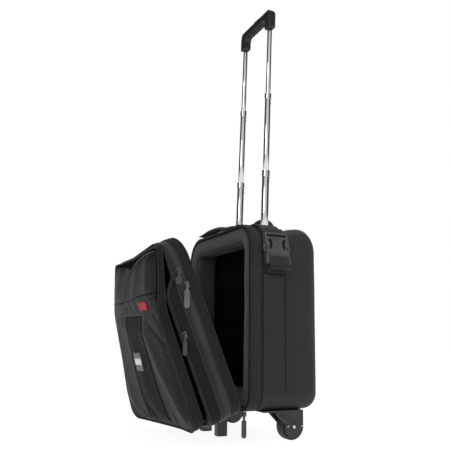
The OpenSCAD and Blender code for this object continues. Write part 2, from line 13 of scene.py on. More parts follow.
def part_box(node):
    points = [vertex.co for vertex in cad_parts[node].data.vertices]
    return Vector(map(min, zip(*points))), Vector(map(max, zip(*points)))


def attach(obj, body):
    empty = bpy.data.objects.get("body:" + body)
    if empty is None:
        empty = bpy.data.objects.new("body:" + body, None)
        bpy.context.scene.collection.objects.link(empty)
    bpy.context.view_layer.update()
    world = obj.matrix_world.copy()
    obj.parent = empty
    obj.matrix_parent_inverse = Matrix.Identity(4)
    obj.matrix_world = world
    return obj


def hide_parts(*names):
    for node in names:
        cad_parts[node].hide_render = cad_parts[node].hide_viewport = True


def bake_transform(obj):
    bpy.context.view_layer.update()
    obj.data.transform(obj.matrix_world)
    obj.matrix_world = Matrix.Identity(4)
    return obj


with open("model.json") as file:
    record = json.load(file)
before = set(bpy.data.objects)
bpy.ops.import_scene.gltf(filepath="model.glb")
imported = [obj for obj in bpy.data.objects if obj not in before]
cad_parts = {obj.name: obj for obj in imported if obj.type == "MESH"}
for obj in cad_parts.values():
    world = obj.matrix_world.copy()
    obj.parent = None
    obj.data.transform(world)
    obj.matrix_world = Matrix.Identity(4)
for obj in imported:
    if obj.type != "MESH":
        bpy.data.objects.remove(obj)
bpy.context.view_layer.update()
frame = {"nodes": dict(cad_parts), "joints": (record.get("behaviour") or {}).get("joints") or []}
scene = bpy.context.scene
NODES = frame["nodes"]

# ---------- sizes taken from the frame ----------

shell_low, shell_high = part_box("case_shell")
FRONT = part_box("foam_frame")[0].y
BACK = shell_high.y
BASE = shell_low.z
TOP = shell_high.z
HALF = shell_high.x
WIDTH = 2 * HALF
HEIGHT = TOP - BASE
DEPTH = BACK - FRONT
MOUTH_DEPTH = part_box("back_pad")[0].y - FRONT
# Radii of the outline's corners and the rear edges; the width of the padded border and its mouth's corners
R_TOP = 0.060
R_BOTTOM = 0.038
R_REAR = 0.028
BORDER = 0.042
R_MOUTH = 0.022
WALL = 0.005

hinge = next(j for j in frame["joints"] if j["name"] == "lid_hinge")
PIVOT = Vector(hinge["pos_m"])
LID_REST = -math.radians(hinge["range_deg"][0])
# Turns a point of the closed lid to where the lid stands at rest
OPEN = Matrix.Translation(PIVOT) @ Matrix.Rotation(LID_REST, 4, "X") @ Matrix.Translation(-PIVOT)

# Depths in front of the case's front plane, with the lid closed
RIM = 0.005
TRAY_FRONT = 0.053
STRAP_MIDDLE = 0.059
SIDE_STRAP_W = 0.054
WEBBING_W = 0.050
SIDES = ((1, "right"), (-1, "left"))
EDGES = ((-1, "front"), (1, "rear"))
# Heights over the case's underside: the pocket's top edge, and the lower edge of the band across its front
LID_CREST = 0.391
BAND_LOW = 0.267
# Heights where the lid's front steps back, and how far each layer stands forward there
STEPS = (-0.005, BAND_LOW, 0.308, LID_CREST)
ORGANISER_FACE = (0.083, 0.083, 0.057, 0.055)
GUSSET_FACE = (0.101, 0.096, 0.084, 0.058)
POCKET_FACE = (0.121, 0.114, 0.099, 0.066)
ORGANISER_H = 0.401
ORGANISER_STEPS = (-0.005, 0.296, 0.328, LID_CREST)
FLAG_SHADE = 0.06


# ---------- camera, light and floor ----------

def make_camera():
    """The camera, placed and turned as solved from the case's own corners and edges."""
    place = (1.3581, -0.6058, 0.2176)
    yaw, pitch, roll = math.radians(64.54), math.radians(10.91), math.radians(0.84)
    ahead = Vector((-math.sin(yaw) * math.cos(pitch), math.cos(yaw) * math.cos(pitch), math.sin(pitch)))
    level = Vector((math.cos(yaw), math.sin(yaw), 0))
    upward = level.cross(ahead)
    right = level * math.cos(roll) + upward * math.sin(roll)
    upright = -level * math.sin(roll) + upward * math.cos(roll)
    camera = bpy.data.objects.new("camera", bpy.data.cameras.new("camera"))
    scene.collection.objects.link(camera)
    camera.data.lens = 47.82
    camera.data.sensor_width = 36
    camera.data.clip_start = 0.01
    turned = Matrix((right, upright, -ahead)).transposed().to_4x4()
    camera.matrix_world = Matrix.Translation(place) @ turned
    scene.camera = camera
    return ahead


def area_light(name, place, target, size, power, colour=(1, 1, 1), mirrored=False):
    light = bpy.data.lights.new(name, "AREA")
    light.shape = "RECTANGLE"
    light.size, light.size_y = size
    light.energy = power
    light.color = colour
    lamp = bpy.data.objects.new(name, light)
    scene.collection.objects.link(lamp)
    lamp.location = place
    lamp.visible_glossy = mirrored
    lamp.rotation_mode = "QUATERNION"
    lamp.rotation_quaternion = (Vector(target) - Vector(place)).to_track_quat("-Z", "Y")


def make_studio(ahead):
    """Pale surroundings: a white screen ahead, soft light behind the camera and dark flags between them."""
    world = bpy.data.worlds.new("studio")
    scene.world = world
    world.use_nodes = True
    tree = world.node_tree
    nodes, links = tree.nodes, tree.links
    background = nodes["Background"]
    place = nodes.new("ShaderNodeTexCoord")
    flat = nodes.new("ShaderNodeVectorMath")
    flat.operation = "MULTIPLY"
    flat.inputs[1].default_value = (1, 1, 0)
    bearing = nodes.new("ShaderNodeVectorMath")
    bearing.operation = "NORMALIZE"
    along = nodes.new("ShaderNodeVectorMath")
    along.operation = "DOT_PRODUCT"
    level = Vector((ahead.x, ahead.y, 0)).normalized()
    along.inputs[1].default_value = level
    spread = nodes.new("ShaderNodeMath")
    spread.operation = "MULTIPLY_ADD"
    spread.inputs[1].default_value = 0.5
    spread.inputs[2].default_value = 0.5
    ramp = nodes.new("ShaderNodeValToRGB")
    stops = ((0.16, 0.75), (0.24, FLAG_SHADE), (0.930, FLAG_SHADE), (0.948, 1.0))
    while len(ramp.color_ramp.elements) < len(stops):
        ramp.color_ramp.elements.new(0.5)
    for element, (position, shade) in zip(ramp.color_ramp.elements, stops):
        element.position = position
        element.color = (shade, shade, shade * 1.01, 1)
    height = nodes.new("ShaderNodeSeparateXYZ")
    rise = nodes.new("ShaderNodeMapRange")
    rise.inputs["From Min"].default_value = 0.08
    rise.inputs["From Max"].default_value = 0.17
    mix = nodes.new("ShaderNodeMix")
    mix.data_type = "RGBA"
    mix.inputs["A"].default_value = (1, 1, 1, 1)
    links.new(place.outputs["Generated"], flat.inputs[0])
    links.new(flat.outputs[0], bearing.inputs[0])
    links.new(bearing.outputs[0], along.inputs[0])
    links.new(place.outputs["Generated"], height.inputs[0])
    links.new(along.outputs["Value"], spread.inputs[0])
    links.new(spread.outputs[0], ramp.inputs[0])
    links.new(height.outputs["Z"], rise.inputs["Value"])
    links.new(rise.outputs["Result"], mix.inputs["Factor"])
    links.new(ramp.outputs[0], mix.inputs["B"])
    links.new(mix.outputs["Result"], background.inputs["Color"])
    background.inputs["Strength"].default_value = 1.0
    area_light("key", (1.2, -1.9, 1.7), (0, -0.05, 0.35), (1.1, 1.1), 12, mirrored=True)
    area_light("side", (2.3, 0.55, 0.9), (0, 0, 0.35), (0.5, 1.6), 15, (0.95, 0.97, 1.0))
    area_light("rear", (-1.2, 1.9, 1.6), (0, 0, 0.5), (1.2, 1.2), 16)
    area_light("top", (0.1, -0.1, 2.6), (0, 0, 0.3), (1.4, 1.4), 20)


def paint(name, shade, rough, level, glow):
    """A flat grey that also glows by itself."""
    material = bpy.data.materials.new(name)
    material.use_nodes = True
    shader = material.node_tree.nodes["Principled BSDF"]
    shader.inputs["Base Color"].default_value = (shade, shade, shade, 1)
    shader.inputs["Roughness"].default_value = rough
    shader.inputs["Specular IOR Level"].default_value = level
    shader.inputs["Emission Color"].default_value = (1, 1, 1, 1)
    shader.inputs["Emission Strength"].default_value = glow
    return material


def make_floor():
    reach = 40.0
    mesh = bpy.data.meshes.new("floor")
    corners = ((-1, -1), (1, -1), (1, 1), (-1, 1))
    mesh.from_pydata([(x * reach, y * reach, 0) for x, y in corners], [], [(0, 1, 2, 3)])
    floor = bpy.data.objects.new("floor", mesh)
    scene.collection.objects.link(floor)
    mesh.materials.append(paint("floor_paint", 0.16, 0.85, 0.1, 0.92))


def make_backdrop():
    """A white wall that only the camera sees, so that the dark flags stay in the reflections."""
    reach, tall, sides = 38.0, 30.0, 48
    points = [(reach * c, reach * s, z) for z in (0.0, tall) for c, s in turns(sides)]
    faces = [(k, (k + 1) % sides, sides + (k + 1) % sides, sides + k) for k in range(sides)]
    mesh = bpy.data.meshes.new("backdrop")
    mesh.from_pydata(points, [], faces)
    wall = bpy.data.objects.new("backdrop", mesh)
    scene.collection.objects.link(wall)
    wall.visible_diffuse = False
    wall.visible_glossy = False
    wall.visible_transmission = False
    wall.visible_shadow = False
    mesh.materials.append(paint("backdrop_paint", 0.0, 0.5, 0.0, 1.0))


# ---------- materials ----------

class Nodes:
    """Short calls for building one material's node tree."""

    def __init__(self, name, uv=True):
        self.material = bpy.data.materials.new(name)
        self.material.use_nodes = True
        self.tree = self.material.node_tree
        self.shader = self.tree.nodes["Principled BSDF"]
        coordinates = self.tree.nodes.new("ShaderNodeTexCoord")
        self.place = coordinates.outputs["UV" if uv else "Object"]
        self.solid = coordinates.outputs["Object"]

    def node(self, kind, **settings):
        made = self.tree.nodes.new("ShaderNode" + kind)
        for key, value in settings.items():
            setattr(made, key, value)
        return made

    def link(self, source, target):
        if isinstance(source, (int, float)):
            target.default_value = source
        else:
            self.tree.links.new(source, target)

    def math(self, operation, a, b=0.0, c=0.0):
        made = self.node("Math", operation=operation)
        for socket, value in zip(made.inputs, (a, b, c)):
            self.link(value, socket)
        return made.outputs[0]

    def noise(self, scale, detail=3.0, stretch=(1, 1, 1)):
        mapping = self.node("Mapping")
        mapping.inputs["Scale"].default_value = stretch
        self.link(self.solid, mapping.inputs["Vector"])
        made = self.node("TexNoise")
        made.inputs["Scale"].default_value = scale
        made.inputs["Detail"].default_value = detail
        made.inputs["Roughness"].default_value = 0.55
        self.link(mapping.outputs[0], made.inputs["Vector"])
        return made.outputs["Fac"]

    def shade(self, factor, dark, light, low=0.0, high=1.0):
        """A colour between dark and light as factor goes from low to high."""
        ramp = self.node("ValToRGB")
        ramp.color_ramp.elements[0].position = low
        ramp.color_ramp.elements[1].position = high
        ramp.color_ramp.elements[0].color = (*dark, 1)
        ramp.color_ramp.elements[1].color = (*light, 1)
        self.link(factor, ramp.inputs[0])
        return ramp.outputs[0]

    def spread(self, factor, low, high):
        made = self.node("MapRange")
        self.link(factor, made.inputs["Value"])
        made.inputs["To Min"].default_value = low
        made.inputs["To Max"].default_value = high
        return made.outputs["Result"]

    def bump(self, height, strength, distance, under=None):
        made = self.node("Bump")
        made.inputs["Strength"].default_value = strength
        made.inputs["Distance"].default_value = distance
        self.link(height, made.inputs["Height"])
        if under is not None:
            self.link(under, made.inputs["Normal"])
        return made.outputs["Normal"]

    def finish(self, colour, roughness, normal=None, **constants):
        self.link(colour, self.shader.inputs["Base Color"])
        self.link(roughness, self.shader.inputs["Roughness"])
        if normal is not None:
            self.link(normal, self.shader.inputs["Normal"])
        for key, value in constants.items():
            self.shader.inputs[key.replace("_", " ")].default_value = value
        return self.material


def tint(colour, factor):
    return tuple(min(1.0, c * factor) for c in colour)


def weave_height(n, pitch):
    """Height of a plain weave: warp and weft threads that pass over each other in a checker."""
    mapping = n.node("Mapping")
    mapping.inputs["Scale"].default_value = (1 / pitch, 1 / pitch, 1)
    n.link(n.place, mapping.inputs["Vector"])
    parts = n.node("SeparateXYZ")
    n.link(mapping.outputs[0], parts.inputs[0])
    warp = n.math("ABSOLUTE", n.math("SINE", n.math("MULTIPLY", parts.outputs[0], math.pi)))
    weft = n.math("ABSOLUTE", n.math("SINE", n.math("MULTIPLY", parts.outputs[1], math.pi)))
    checker = n.node("TexChecker")
    checker.inputs["Scale"].default_value = 1.0
    n.link(mapping.outputs[0], checker.inputs["Vector"])
    over = checker.outputs["Fac"]
    under = n.math("SUBTRACT", 1.0, over)
    return n.math("ADD", n.math("MULTIPLY", warp, over), n.math("MULTIPLY", weft, under))


def woven(name, colour, pitch=0.0011, rough=0.78, sheen=0.06, relief=0.00035, warmth=1.0, level=0.2):
    """Woven polyester: threads, uneven dye and light dust."""
    n = Nodes(name)
    threads = weave_height(n, pitch)
    cloudy = n.noise(14.0, 4.0)
    fuzz = n.noise(900.0, 2.0)
    dust = n.math("MULTIPLY_ADD", cloudy, 0.75, n.math("MULTIPLY", fuzz, 0.25))
    mixed = n.math("MULTIPLY_ADD", threads, 0.45, dust)
    light = tuple(c * f for c, f in zip(tint(colour, 1.45), (warmth, 1.0, 2 - warmth)))
    shade = n.shade(mixed, tint(colour, 0.55), light, 0.25, 1.15)
    normal = n.bump(threads, 0.55, relief, n.bump(n.noise(55.0, 3.0), 0.25, 0.0012))
    roughness = n.spread(cloudy, rough - 0.08, rough + 0.08)
    return n.finish(shade, roughness, normal, Sheen_Weight=sheen, Sheen_Roughness=0.45,
                    Specular_IOR_Level=level)


def webbing_cloth(name, colour):
    """Heavy webbing: ribs across it and a twill slant."""
    n = Nodes(name)
    mapping = n.node("Mapping")
    mapping.inputs["Rotation"].default_value = (0, 0, math.radians(38))
    n.link(n.place, mapping.inputs["Vector"])
    twill = n.node("TexWave", wave_type="BANDS", bands_direction="X")
    twill.inputs["Scale"].default_value = 130.0
    twill.inputs["Distortion"].default_value = 0.6
    twill.inputs["Detail"].default_value = 1.0
    n.link(mapping.outputs[0], twill.inputs["Vector"])
    threads = weave_height(n, 0.0016)
    height = n.math("MULTIPLY_ADD", twill.outputs["Fac"], 0.6, n.math("MULTIPLY", threads, 0.6))
    cloudy = n.noise(22.0, 3.0)
    mixed = n.math("MULTIPLY_ADD", height, 0.6, cloudy)
    shade = n.shade(mixed, tint(colour, 0.5), tint(colour, 1.5), 0.3, 1.4)
    normal = n.bump(height, 0.6, 0.0005)
    return n.finish(shade, n.spread(cloudy, 0.6, 0.78), normal, Sheen_Weight=0.05, Specular_IOR_Level=0.25)


def satin_leather(name, colour, rough=0.40, grain=0.0013, level=0.22):
    """Coated leatherette: fine pebble grain under a satin coat, with faint pull lines."""
    n = Nodes(name, uv=False)
    pebble = n.node("TexVoronoi", feature="DISTANCE_TO_EDGE")
    pebble.inputs["Scale"].default_value = 1 / grain
    n.link(n.place, pebble.inputs["Vector"])
    cells = n.math("MINIMUM", pebble.outputs["Distance"], 0.35)
    pulls = n.noise(20.0, 4.0, stretch=(2.2, 1.0, 0.45))
    soft = n.noise(7.0, 3.0)
    shade = n.shade(n.math("MULTIPLY_ADD", pulls, 0.4, n.math("MULTIPLY", soft, 0.6)), tint(colour, 0.7),
                    tint(colour, 1.3), 0.3, 0.75)
    normal = n.bump(cells, 0.22, 0.0003, n.bump(pulls, 0.35, 0.0022))
    return n.finish(shade, n.spread(soft, rough - 0.06, rough + 0.10), normal, Specular_IOR_Level=level)


def moulded(name, colour, rough=0.42, relief=0.00012, scale=900.0):
    """Moulded plastic or rubber with a fine spark texture, rubbed smoother in places."""
    n = Nodes(name, uv=False)
    spark = n.noise(scale, 2.0)
    worn = n.noise(28.0, 5.0)
    shade = n.shade(worn, tint(colour, 0.8), tint(colour, 1.25), 0.35, 0.7)
    normal = n.bump(spark, 0.35, relief)
    return n.finish(shade, n.spread(worn, rough - 0.08, rough + 0.10), normal, Specular_IOR_Level=0.5)


def metal(name, colour, rough, brushed=0.15):
    """Drawn or plated metal with faint lines along it and light handling marks."""
    n = Nodes(name, uv=False)
    lines = n.noise(12.0, 3.0, stretch=(60, 60, 0.6))
    marks = n.noise(40.0, 6.0)
    shade = n.shade(n.math("MULTIPLY_ADD", lines, 0.7, n.math("MULTIPLY", marks, 0.3)), tint(colour, 0.88),
                    colour, 0.3, 0.7)
    normal = n.bump(lines, brushed, 0.00008)
    return n.finish(shade, n.spread(marks, rough * 0.7, rough * 1.5), normal, Metallic=1.0)


def make_materials():
    return {
        "case": woven("case_polyester", (0.018, 0.018, 0.0195), 0.0012, 0.62, 0.05),
        "border": woven("border_brushed", (0.052, 0.049, 0.052), 0.0009, 0.85, 0.12, warmth=1.01),
        "tray": woven("lid_polyester", (0.026, 0.026, 0.028), 0.0012, 0.66, 0.07),
        # Organiser cloth: a dark cloth whose colour is pushed further down as painted shade, for the shade
        # between the pocket and the tray
        "soft": woven("organiser_twill_and_painted_shade", (0.010, 0.010, 0.0104), 0.0016, 0.72, 0.02, 0.0005, level=0.08),
        # Lining cloth: black cloth pushed down to near zero as painted shade for the deep shade in the
        # compartment and the pocket's gusset; it also colours the fold over the pocket's top
        "lining": woven("lining_cloth_and_painted_shade", (0.003, 0.003, 0.0033), 0.0008, 0.95, 0.0, level=0.03),
        "strip": woven("strip_cloth", (0.0034, 0.0034, 0.0042), 0.0010, 0.46, 0.0, 0.0002, level=0.03),
        "binding": woven("binding_tape", (0.010, 0.010, 0.0105), 0.0013, 0.62, 0.04),
        "tape": woven("zip_tape", (0.019, 0.0182, 0.0178), 0.0015, 0.75, 0.05, 0.0006, 1.01),
        "piping": satin_leather("piping_vinyl", (0.018, 0.018, 0.019), 0.36, 0.0009),
        "webbing": webbing_cloth("strap_webbing", (0.014, 0.0135, 0.0135)),
        "leather": satin_leather("pocket_leatherette", (0.0135, 0.0135, 0.0152), 0.43, level=0.055),
        "black": moulded("black_plastic", (0.012, 0.012, 0.013), 0.42),
        "grey": moulded("buckle_plastic", (0.058, 0.058, 0.062), 0.32),
        "hub": moulded("hub_plastic", (0.10, 0.10, 0.105), 0.45),
        "rubber": moulded("tyre_rubber", (0.014, 0.014, 0.014), 0.68, 0.0002, 600.0),
        "grip": moulded("grip_rubber", (0.008, 0.008, 0.009), 0.38, 0.00015, 700.0),
        "pull": moulded("pull_rubber", (0.10, 0.10, 0.105), 0.55, 0.0002, 800.0),
        "pull_dark": moulded("pull_rubber_dark", (0.032, 0.032, 0.036), 0.5, 0.0002, 800.0),
        "slider": metal("slider_metal", (0.11, 0.11, 0.115), 0.36),
        "steel": metal("steel", (0.60, 0.60, 0.61), 0.24),
        "chrome": metal("pole_chrome", (0.80, 0.80, 0.81), 0.10, 0.02),
        "thread": woven("sewing_thread", (0.032, 0.031, 0.031), 0.0006, 0.7, 0.06),
        "red": woven("tab_red", (0.36, 0.016, 0.020), 0.0008, 0.7, 0.05),
        "white": woven("label_white", (0.62, 0.62, 0.61), 0.0008, 0.75, 0.05),
        "label": woven("label_grey", (0.15, 0.145, 0.135), 0.0009, 0.75, 0.05),
    }


# ---------- mesh tools ----------

# Points closer than this are one point
MERGE = 1e-6


def add_mesh(name, points, faces, material, uvs):
    """A new object from points and faces; uvs holds one pair for each face corner, in metres."""
    mesh = bpy.data.meshes.new(name)
    mesh.from_pydata([tuple(p) for p in points], [], faces)
    layer = mesh.uv_layers.new(name="UVMap")
    layer.data.foreach_set("uv", np.asarray(uvs, np.float32).ravel())
    mesh.polygons.foreach_set("use_smooth", [True] * len(mesh.polygons))
    mesh.materials.append(material)
    piece = bpy.data.objects.new(name, mesh)
    scene.collection.objects.link(piece)
    return piece


def points_of(piece):
    return np.array([v.co for v in piece.data.vertices])


def move_to(piece, points):
    piece.data.vertices.foreach_set("co", points.astype(np.float32).ravel())


def same(direction, count):
    """One direction for each of count places."""
    return np.tile(direction, (count, 1))


def turns(count):
    """The cosine and sine of count even steps round a circle."""
    return [(math.cos(a), math.sin(a)) for a in np.linspace(0, 2 * math.pi, count, endpoint=False)]


def outward(piece):
    """Turns every face of a closed mesh to point out."""
    shape = bmesh.new()
    shape.from_mesh(piece.data)
    bmesh.ops.recalc_face_normals(shape, faces=shape.faces)
    shape.to_mesh(piece.data)
    shape.free()
    return piece


def loft(name, rows, material, closed=True, ends=False):
    """A surface through rows of points. closed joins each row's last point to its first; ends caps them."""
    rows = np.asarray(rows, float)
    count, width = rows.shape[:2]
    ring = width if closed else width - 1
    middle = rows[count // 2]
    steps = np.linalg.norm(np.roll(middle, -1, 0) - middle, axis=1)
    u = np.concatenate([[0], np.cumsum(steps)])
    v = np.concatenate([[0], np.cumsum(np.linalg.norm(np.diff(rows, axis=0), axis=2).mean(1))])
    faces, uvs = [], []
    for r in range(count - 1):
        for c in range(ring):
            d = (c + 1) % width
            faces.append((r * width + c, r * width + d, (r + 1) * width + d, (r + 1) * width + c))
            uvs += [(u[c], v[r]), (u[c + 1], v[r]), (u[c + 1], v[r + 1]), (u[c], v[r + 1])]
    if ends:
        for start in (0, (count - 1) * width):
            faces.append(tuple(range(start, start + width)))
            uvs += [(u[c], 0.0) for c in range(width)]
    return add_mesh(name, rows.reshape(-1, 3), faces, material, uvs)


def tube_rows(path, radius, sides, closed):
    """Rings of points round a path."""
    path = np.asarray(path, float)
    if closed:
        ahead = np.roll(path, -1, 0) - np.roll(path, 1, 0)
    else:
        ahead = np.gradient(path, axis=0)
    ahead /= np.linalg.norm(ahead, axis=1)[:, None]
    normals = np.zeros_like(path)
    side = np.array([0.0, 1.0, 0.0]) if abs(ahead[0][1]) < 0.9 else np.array([1.0, 0.0, 0.0])
    for i, t in enumerate(ahead):
        side = side - t * (side @ t)
        side /= np.linalg.norm(side)
        normals[i] = side
    across = np.cross(ahead, normals)
    rings = []
    for k in range(sides):
        a = 2 * math.pi * k / sides
        rings.append(path + (normals * math.cos(a) + across * math.sin(a)) * radius)
    return np.array(rings).transpose(1, 0, 2)


def tube(name, path, radius, material, sides=8, closed=True):
    rows = tube_rows(path, radius, sides, closed)
    if closed:
        rows = np.concatenate([rows, rows[:1]])
        piece = loft(name, rows, material)
        return weld(piece)
    return outward(loft(name, rows, material, ends=True))


def weld(piece, distance=MERGE):
    shape = bmesh.new()
    shape.from_mesh(piece.data)
    bmesh.ops.remove_doubles(shape, verts=shape.verts, dist=distance)
    bmesh.ops.recalc_face_normals(shape, faces=shape.faces)
    shape.to_mesh(piece.data)
    shape.free()
    return piece


def bits(name, places, directions, normals, size, material):
    """Many small rounded bars, such as stitches or zip teeth: one at each place."""
    length, width, height = size
    half = np.array([(-1, 0.55), (-0.82, 1), (0.82, 1), (1, 0.55)])
    sides = 6
    corners = turns(sides)
    points, faces, uvs = [], [], []
    for place, t, n in zip(places, directions, normals):
        t = t / np.linalg.norm(t)
        n = n - t * (n @ t)
        n = n / np.linalg.norm(n)
        b = np.cross(t, n)
        start = len(points)
        for s, w in half:
            for c, d in corners:
                points.append(place + t * s * length / 2 + b * c * w * width / 2 + n * d * w * height / 2)
        last = start + (len(half) - 1) * sides
        for ring in range(start, last, sides):
            for c in range(sides):
                e = (c + 1) % sides
                faces.append((ring + c, ring + e, ring + sides + e, ring + sides + c))
                uvs += [(0, 0), (0.001, 0), (0.001, 0.001), (0, 0.001)]
        for first, order in ((start, reversed(range(sides))), (last, range(sides))):
            faces.append(tuple(first + c for c in order))
            uvs += [(0, 0)] * sides
    return outward(add_mesh(name, points, faces, material, uvs))


def sample(path, run, at):
    """The points of a path at the distances at, where run holds the distance of each of its own points."""
    return np.stack([np.interp(at, run, path[:, i]) for i in range(3)], 1)


def spaced(path, pitch, closed=True):
    """Points every pitch along a path, with the path's direction at each."""
    path = np.asarray(path, float)
    if closed:
        path = np.concatenate([path, path[:1]])
    run = np.concatenate([[0], np.cumsum(np.linalg.norm(np.diff(path, axis=0), axis=1))])
    count = max(2, int(run[-1] / pitch))
    at = (np.arange(count) + 0.5) * run[-1] / count
    reach = pitch * 0.3
    return sample(path, run, at), sample(path, run, at + reach) - sample(path, run, at - reach)


def smooth_line(points, count):
    """A Catmull-Rom line through the points, evenly sampled."""
    points = np.asarray(points, float)
    padded = np.concatenate([2 * points[:1] - points[1:2], points, 2 * points[-1:] - points[-2:-1]])
    out = []
    spans = len(points) - 1
    for k in np.linspace(0, spans, count * 4):
        i = min(int(k), spans - 1)
        t = k - i
        p0, p1, p2, p3 = padded[i:i + 4]
        out.append(0.5 * (2 * p1 + (p2 - p0) * t + (2 * p0 - 5 * p1 + 4 * p2 - p3) * t ** 2
                          + (3 * p1 - p0 - 3 * p2 + p3) * t ** 3))
    out = np.array(out)
    run = np.concatenate([[0], np.cumsum(np.linalg.norm(np.diff(out, axis=0), axis=1))])
    return sample(out, run, np.linspace(0, run[-1], count))


def stitches(name, path, normals, material, closed=True, pitch=0.0042):
    """A sewn line: one raised stitch after another along a path."""
    places, ahead = spaced(path, pitch, closed)
    line = np.asarray(path, float)
    nearest = [int(np.argmin(((line - p) ** 2).sum(1))) for p in places]
    return bits(name, places, ahead, np.asarray(normals)[nearest], (pitch * 0.72, 0.0009, 0.0007), material)


def wave(point, size, seed):
    """Smooth unevenness from -1 to 1 that repeats exactly on each run."""
    return noise.noise(Vector(point) / size + Vector((seed * 7.3, seed * 3.1, seed * 5.7)))


def waves(points, size, seed):
    flat = np.asarray(points, float).reshape(-1, 3)
    return np.array([wave(p, size, seed) for p in flat]).reshape(np.asarray(points).shape[:-1])


def puff(piece, pinned, pressure, cap, slack=0.0, stiffness=15.0):
    """Blows the piece up as stuffed cloth held at its pinned points, and keeps the shape it takes."""
    group = piece.vertex_groups.new(name="held")
    group.add([int(i) for i in pinned], 1.0, "REPLACE")
    cloth = piece.modifiers.new("cloth", "CLOTH")
    settings = cloth.settings
    settings.quality = 6
    settings.mass = 0.25
    settings.tension_stiffness = stiffness
    settings.compression_stiffness = stiffness
    settings.shear_stiffness = stiffness / 2
    settings.bending_stiffness = 0.6
    settings.vertex_group_mass = "held"
    settings.use_pressure = True
    settings.uniform_pressure_force = pressure
    settings.shrink_min = -slack
    settings.effector_weights.gravity = 0
    cloth.collision_settings.use_collision = False
    for step in range(1, 21):
        scene.frame_set(step)
    simulated = piece.evaluated_get(bpy.context.evaluated_depsgraph_get()).data
    before = points_of(piece)
    after = np.array([v.co for v in simulated.vertices])
    moved = after - before
    far = np.linalg.norm(moved, axis=1)
    moved *= np.minimum(1.0, cap / np.maximum(far, 1e-9))[:, None]
    piece.modifiers.remove(cloth)
    piece.vertex_groups.remove(group)
    move_to(piece, before + moved)
    piece.data.update()
    scene.frame_set(1)
    return piece


def smooth_more(piece):
    """One subdivision, applied."""
    modifier = piece.modifiers.new("smooth", "SUBSURF")
    modifier.levels = 1
    modifier.render_levels = 1
    with bpy.context.temp_override(active_object=piece, object=piece, selected_objects=[piece]):
        bpy.ops.object.modifier_apply(modifier=modifier.name)
    return piece


def keep(piece, body, slot, *replaced):
    """Rides the piece on its body and hides the CAD nodes that it stands for. The slot is not used."""
    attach(piece, body)
    if replaced:
        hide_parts(*replaced)
    return piece


# ---------- outlines ----------

def rounded_loop(width, height, r_top, r_bottom, base=0.0, fine=1):
    """Points (x, z) and outward normals round a rectangle with round corners that stands on base.
    Every loop has the same count, so any two can be lofted: it starts at the lowest middle, towards +X."""
    half, flat, tall, bend = width / 2, 14 * fine, 38 * fine, 10 * fine
    points, normals = [], []

    def line(a, b, count, normal):
        for i in range(count):
            points.append((a[0] + (b[0] - a[0]) * i / count, a[1] + (b[1] - a[1]) * i / count))
            normals.append(normal)

    def arc(x, z, r, start):
        for i in range(bend):
            angle = math.radians(start + 90 * i / bend)
            points.append((x + r * math.cos(angle), z + r * math.sin(angle)))
            normals.append((math.cos(angle), math.sin(angle)))

    line((0, 0), (half - r_bottom, 0), flat, (0, -1))
    arc(half - r_bottom, r_bottom, r_bottom, -90)
    line((half, r_bottom), (half, height - r_top), tall, (1, 0))
    arc(half - r_top, height - r_top, r_top, 0)
    line((half - r_top, height), (-half + r_top, height), 2 * flat, (0, 1))
    arc(-half + r_top, height - r_top, r_top, 90)
    line((-half, height - r_top), (-half, r_bottom), tall, (-1, 0))
    arc(-half + r_bottom, r_bottom, r_bottom, 180)
    line((-half + r_bottom, 0), (0, 0), flat, (0, -1))
    points = np.array(points)
    points[:, 1] += base
    return points, np.array(normals)


def row_at(loop, depth, grow=0.0):
    """One row of a loft: the loop at a depth behind the front plane, grown outwards."""
    points, normals = loop
    depth = np.broadcast_to(depth, (len(points),))
    grow = np.broadcast_to(grow, (len(points),))
    x, z = (points + normals * grow[:, None]).T
    return np.stack([x, FRONT + depth, z], 1)


def shrunk(row, share, push=(0, 0, 0)):
    """The row drawn in towards its middle."""
    middle = (row.min(0) + row.max(0)) / 2
    return middle + (row - middle) * share + np.array(push)


def normals_3d(loop):
    x, z = loop[1].T
    return np.stack([x, np.zeros(len(x)), z], 1)


CASE_LOOP = rounded_loop(WIDTH, HEIGHT, R_TOP, R_BOTTOM, BASE)
FINE_LOOP = rounded_loop(WIDTH, HEIGHT, R_TOP, R_BOTTOM, BASE, 3)
SEAM_DEPTHS = (0.028, 0.089)


def case_grow(loop, depth):
    """How far the padded case stands outside its outline: it swells between its seams."""
    points, normals = loop
    depth = np.broadcast_to(depth, (len(points),))
    facing = np.where(normals[:, 1] < -0.3, 0.1, np.where(normals[:, 1] > 0.75, 0.55, 1.0))
    swell = np.zeros(len(points))
    for start, end, most in ((0.030, 0.087, 0.0014), (0.091, 0.165, 0.0030)):
        t = np.clip((depth - start) / (end - start), 0, 1)
        swell += most * np.sin(math.pi * t) ** 0.8
    uneven = waves(np.stack([points[:, 0], depth, points[:, 1]], 1), 0.09, 1) * 0.0009
    ramp = np.clip((depth - 0.006) / 0.02, 0, 1)
    corner = np.clip(normals[:, 1], 0, 1) * np.clip((np.abs(points[:, 0]) - 0.05) / 0.07, 0, 1)
    pulled = 0.0045 * np.exp(-((depth - 0.104) / 0.020) ** 2)
    hump = 0.0040 * np.exp(-((depth - 0.158) / 0.022) ** 2)
    return (swell + uneven * ramp) * facing + corner * (hump - pulled)


# ---------- the case ----------

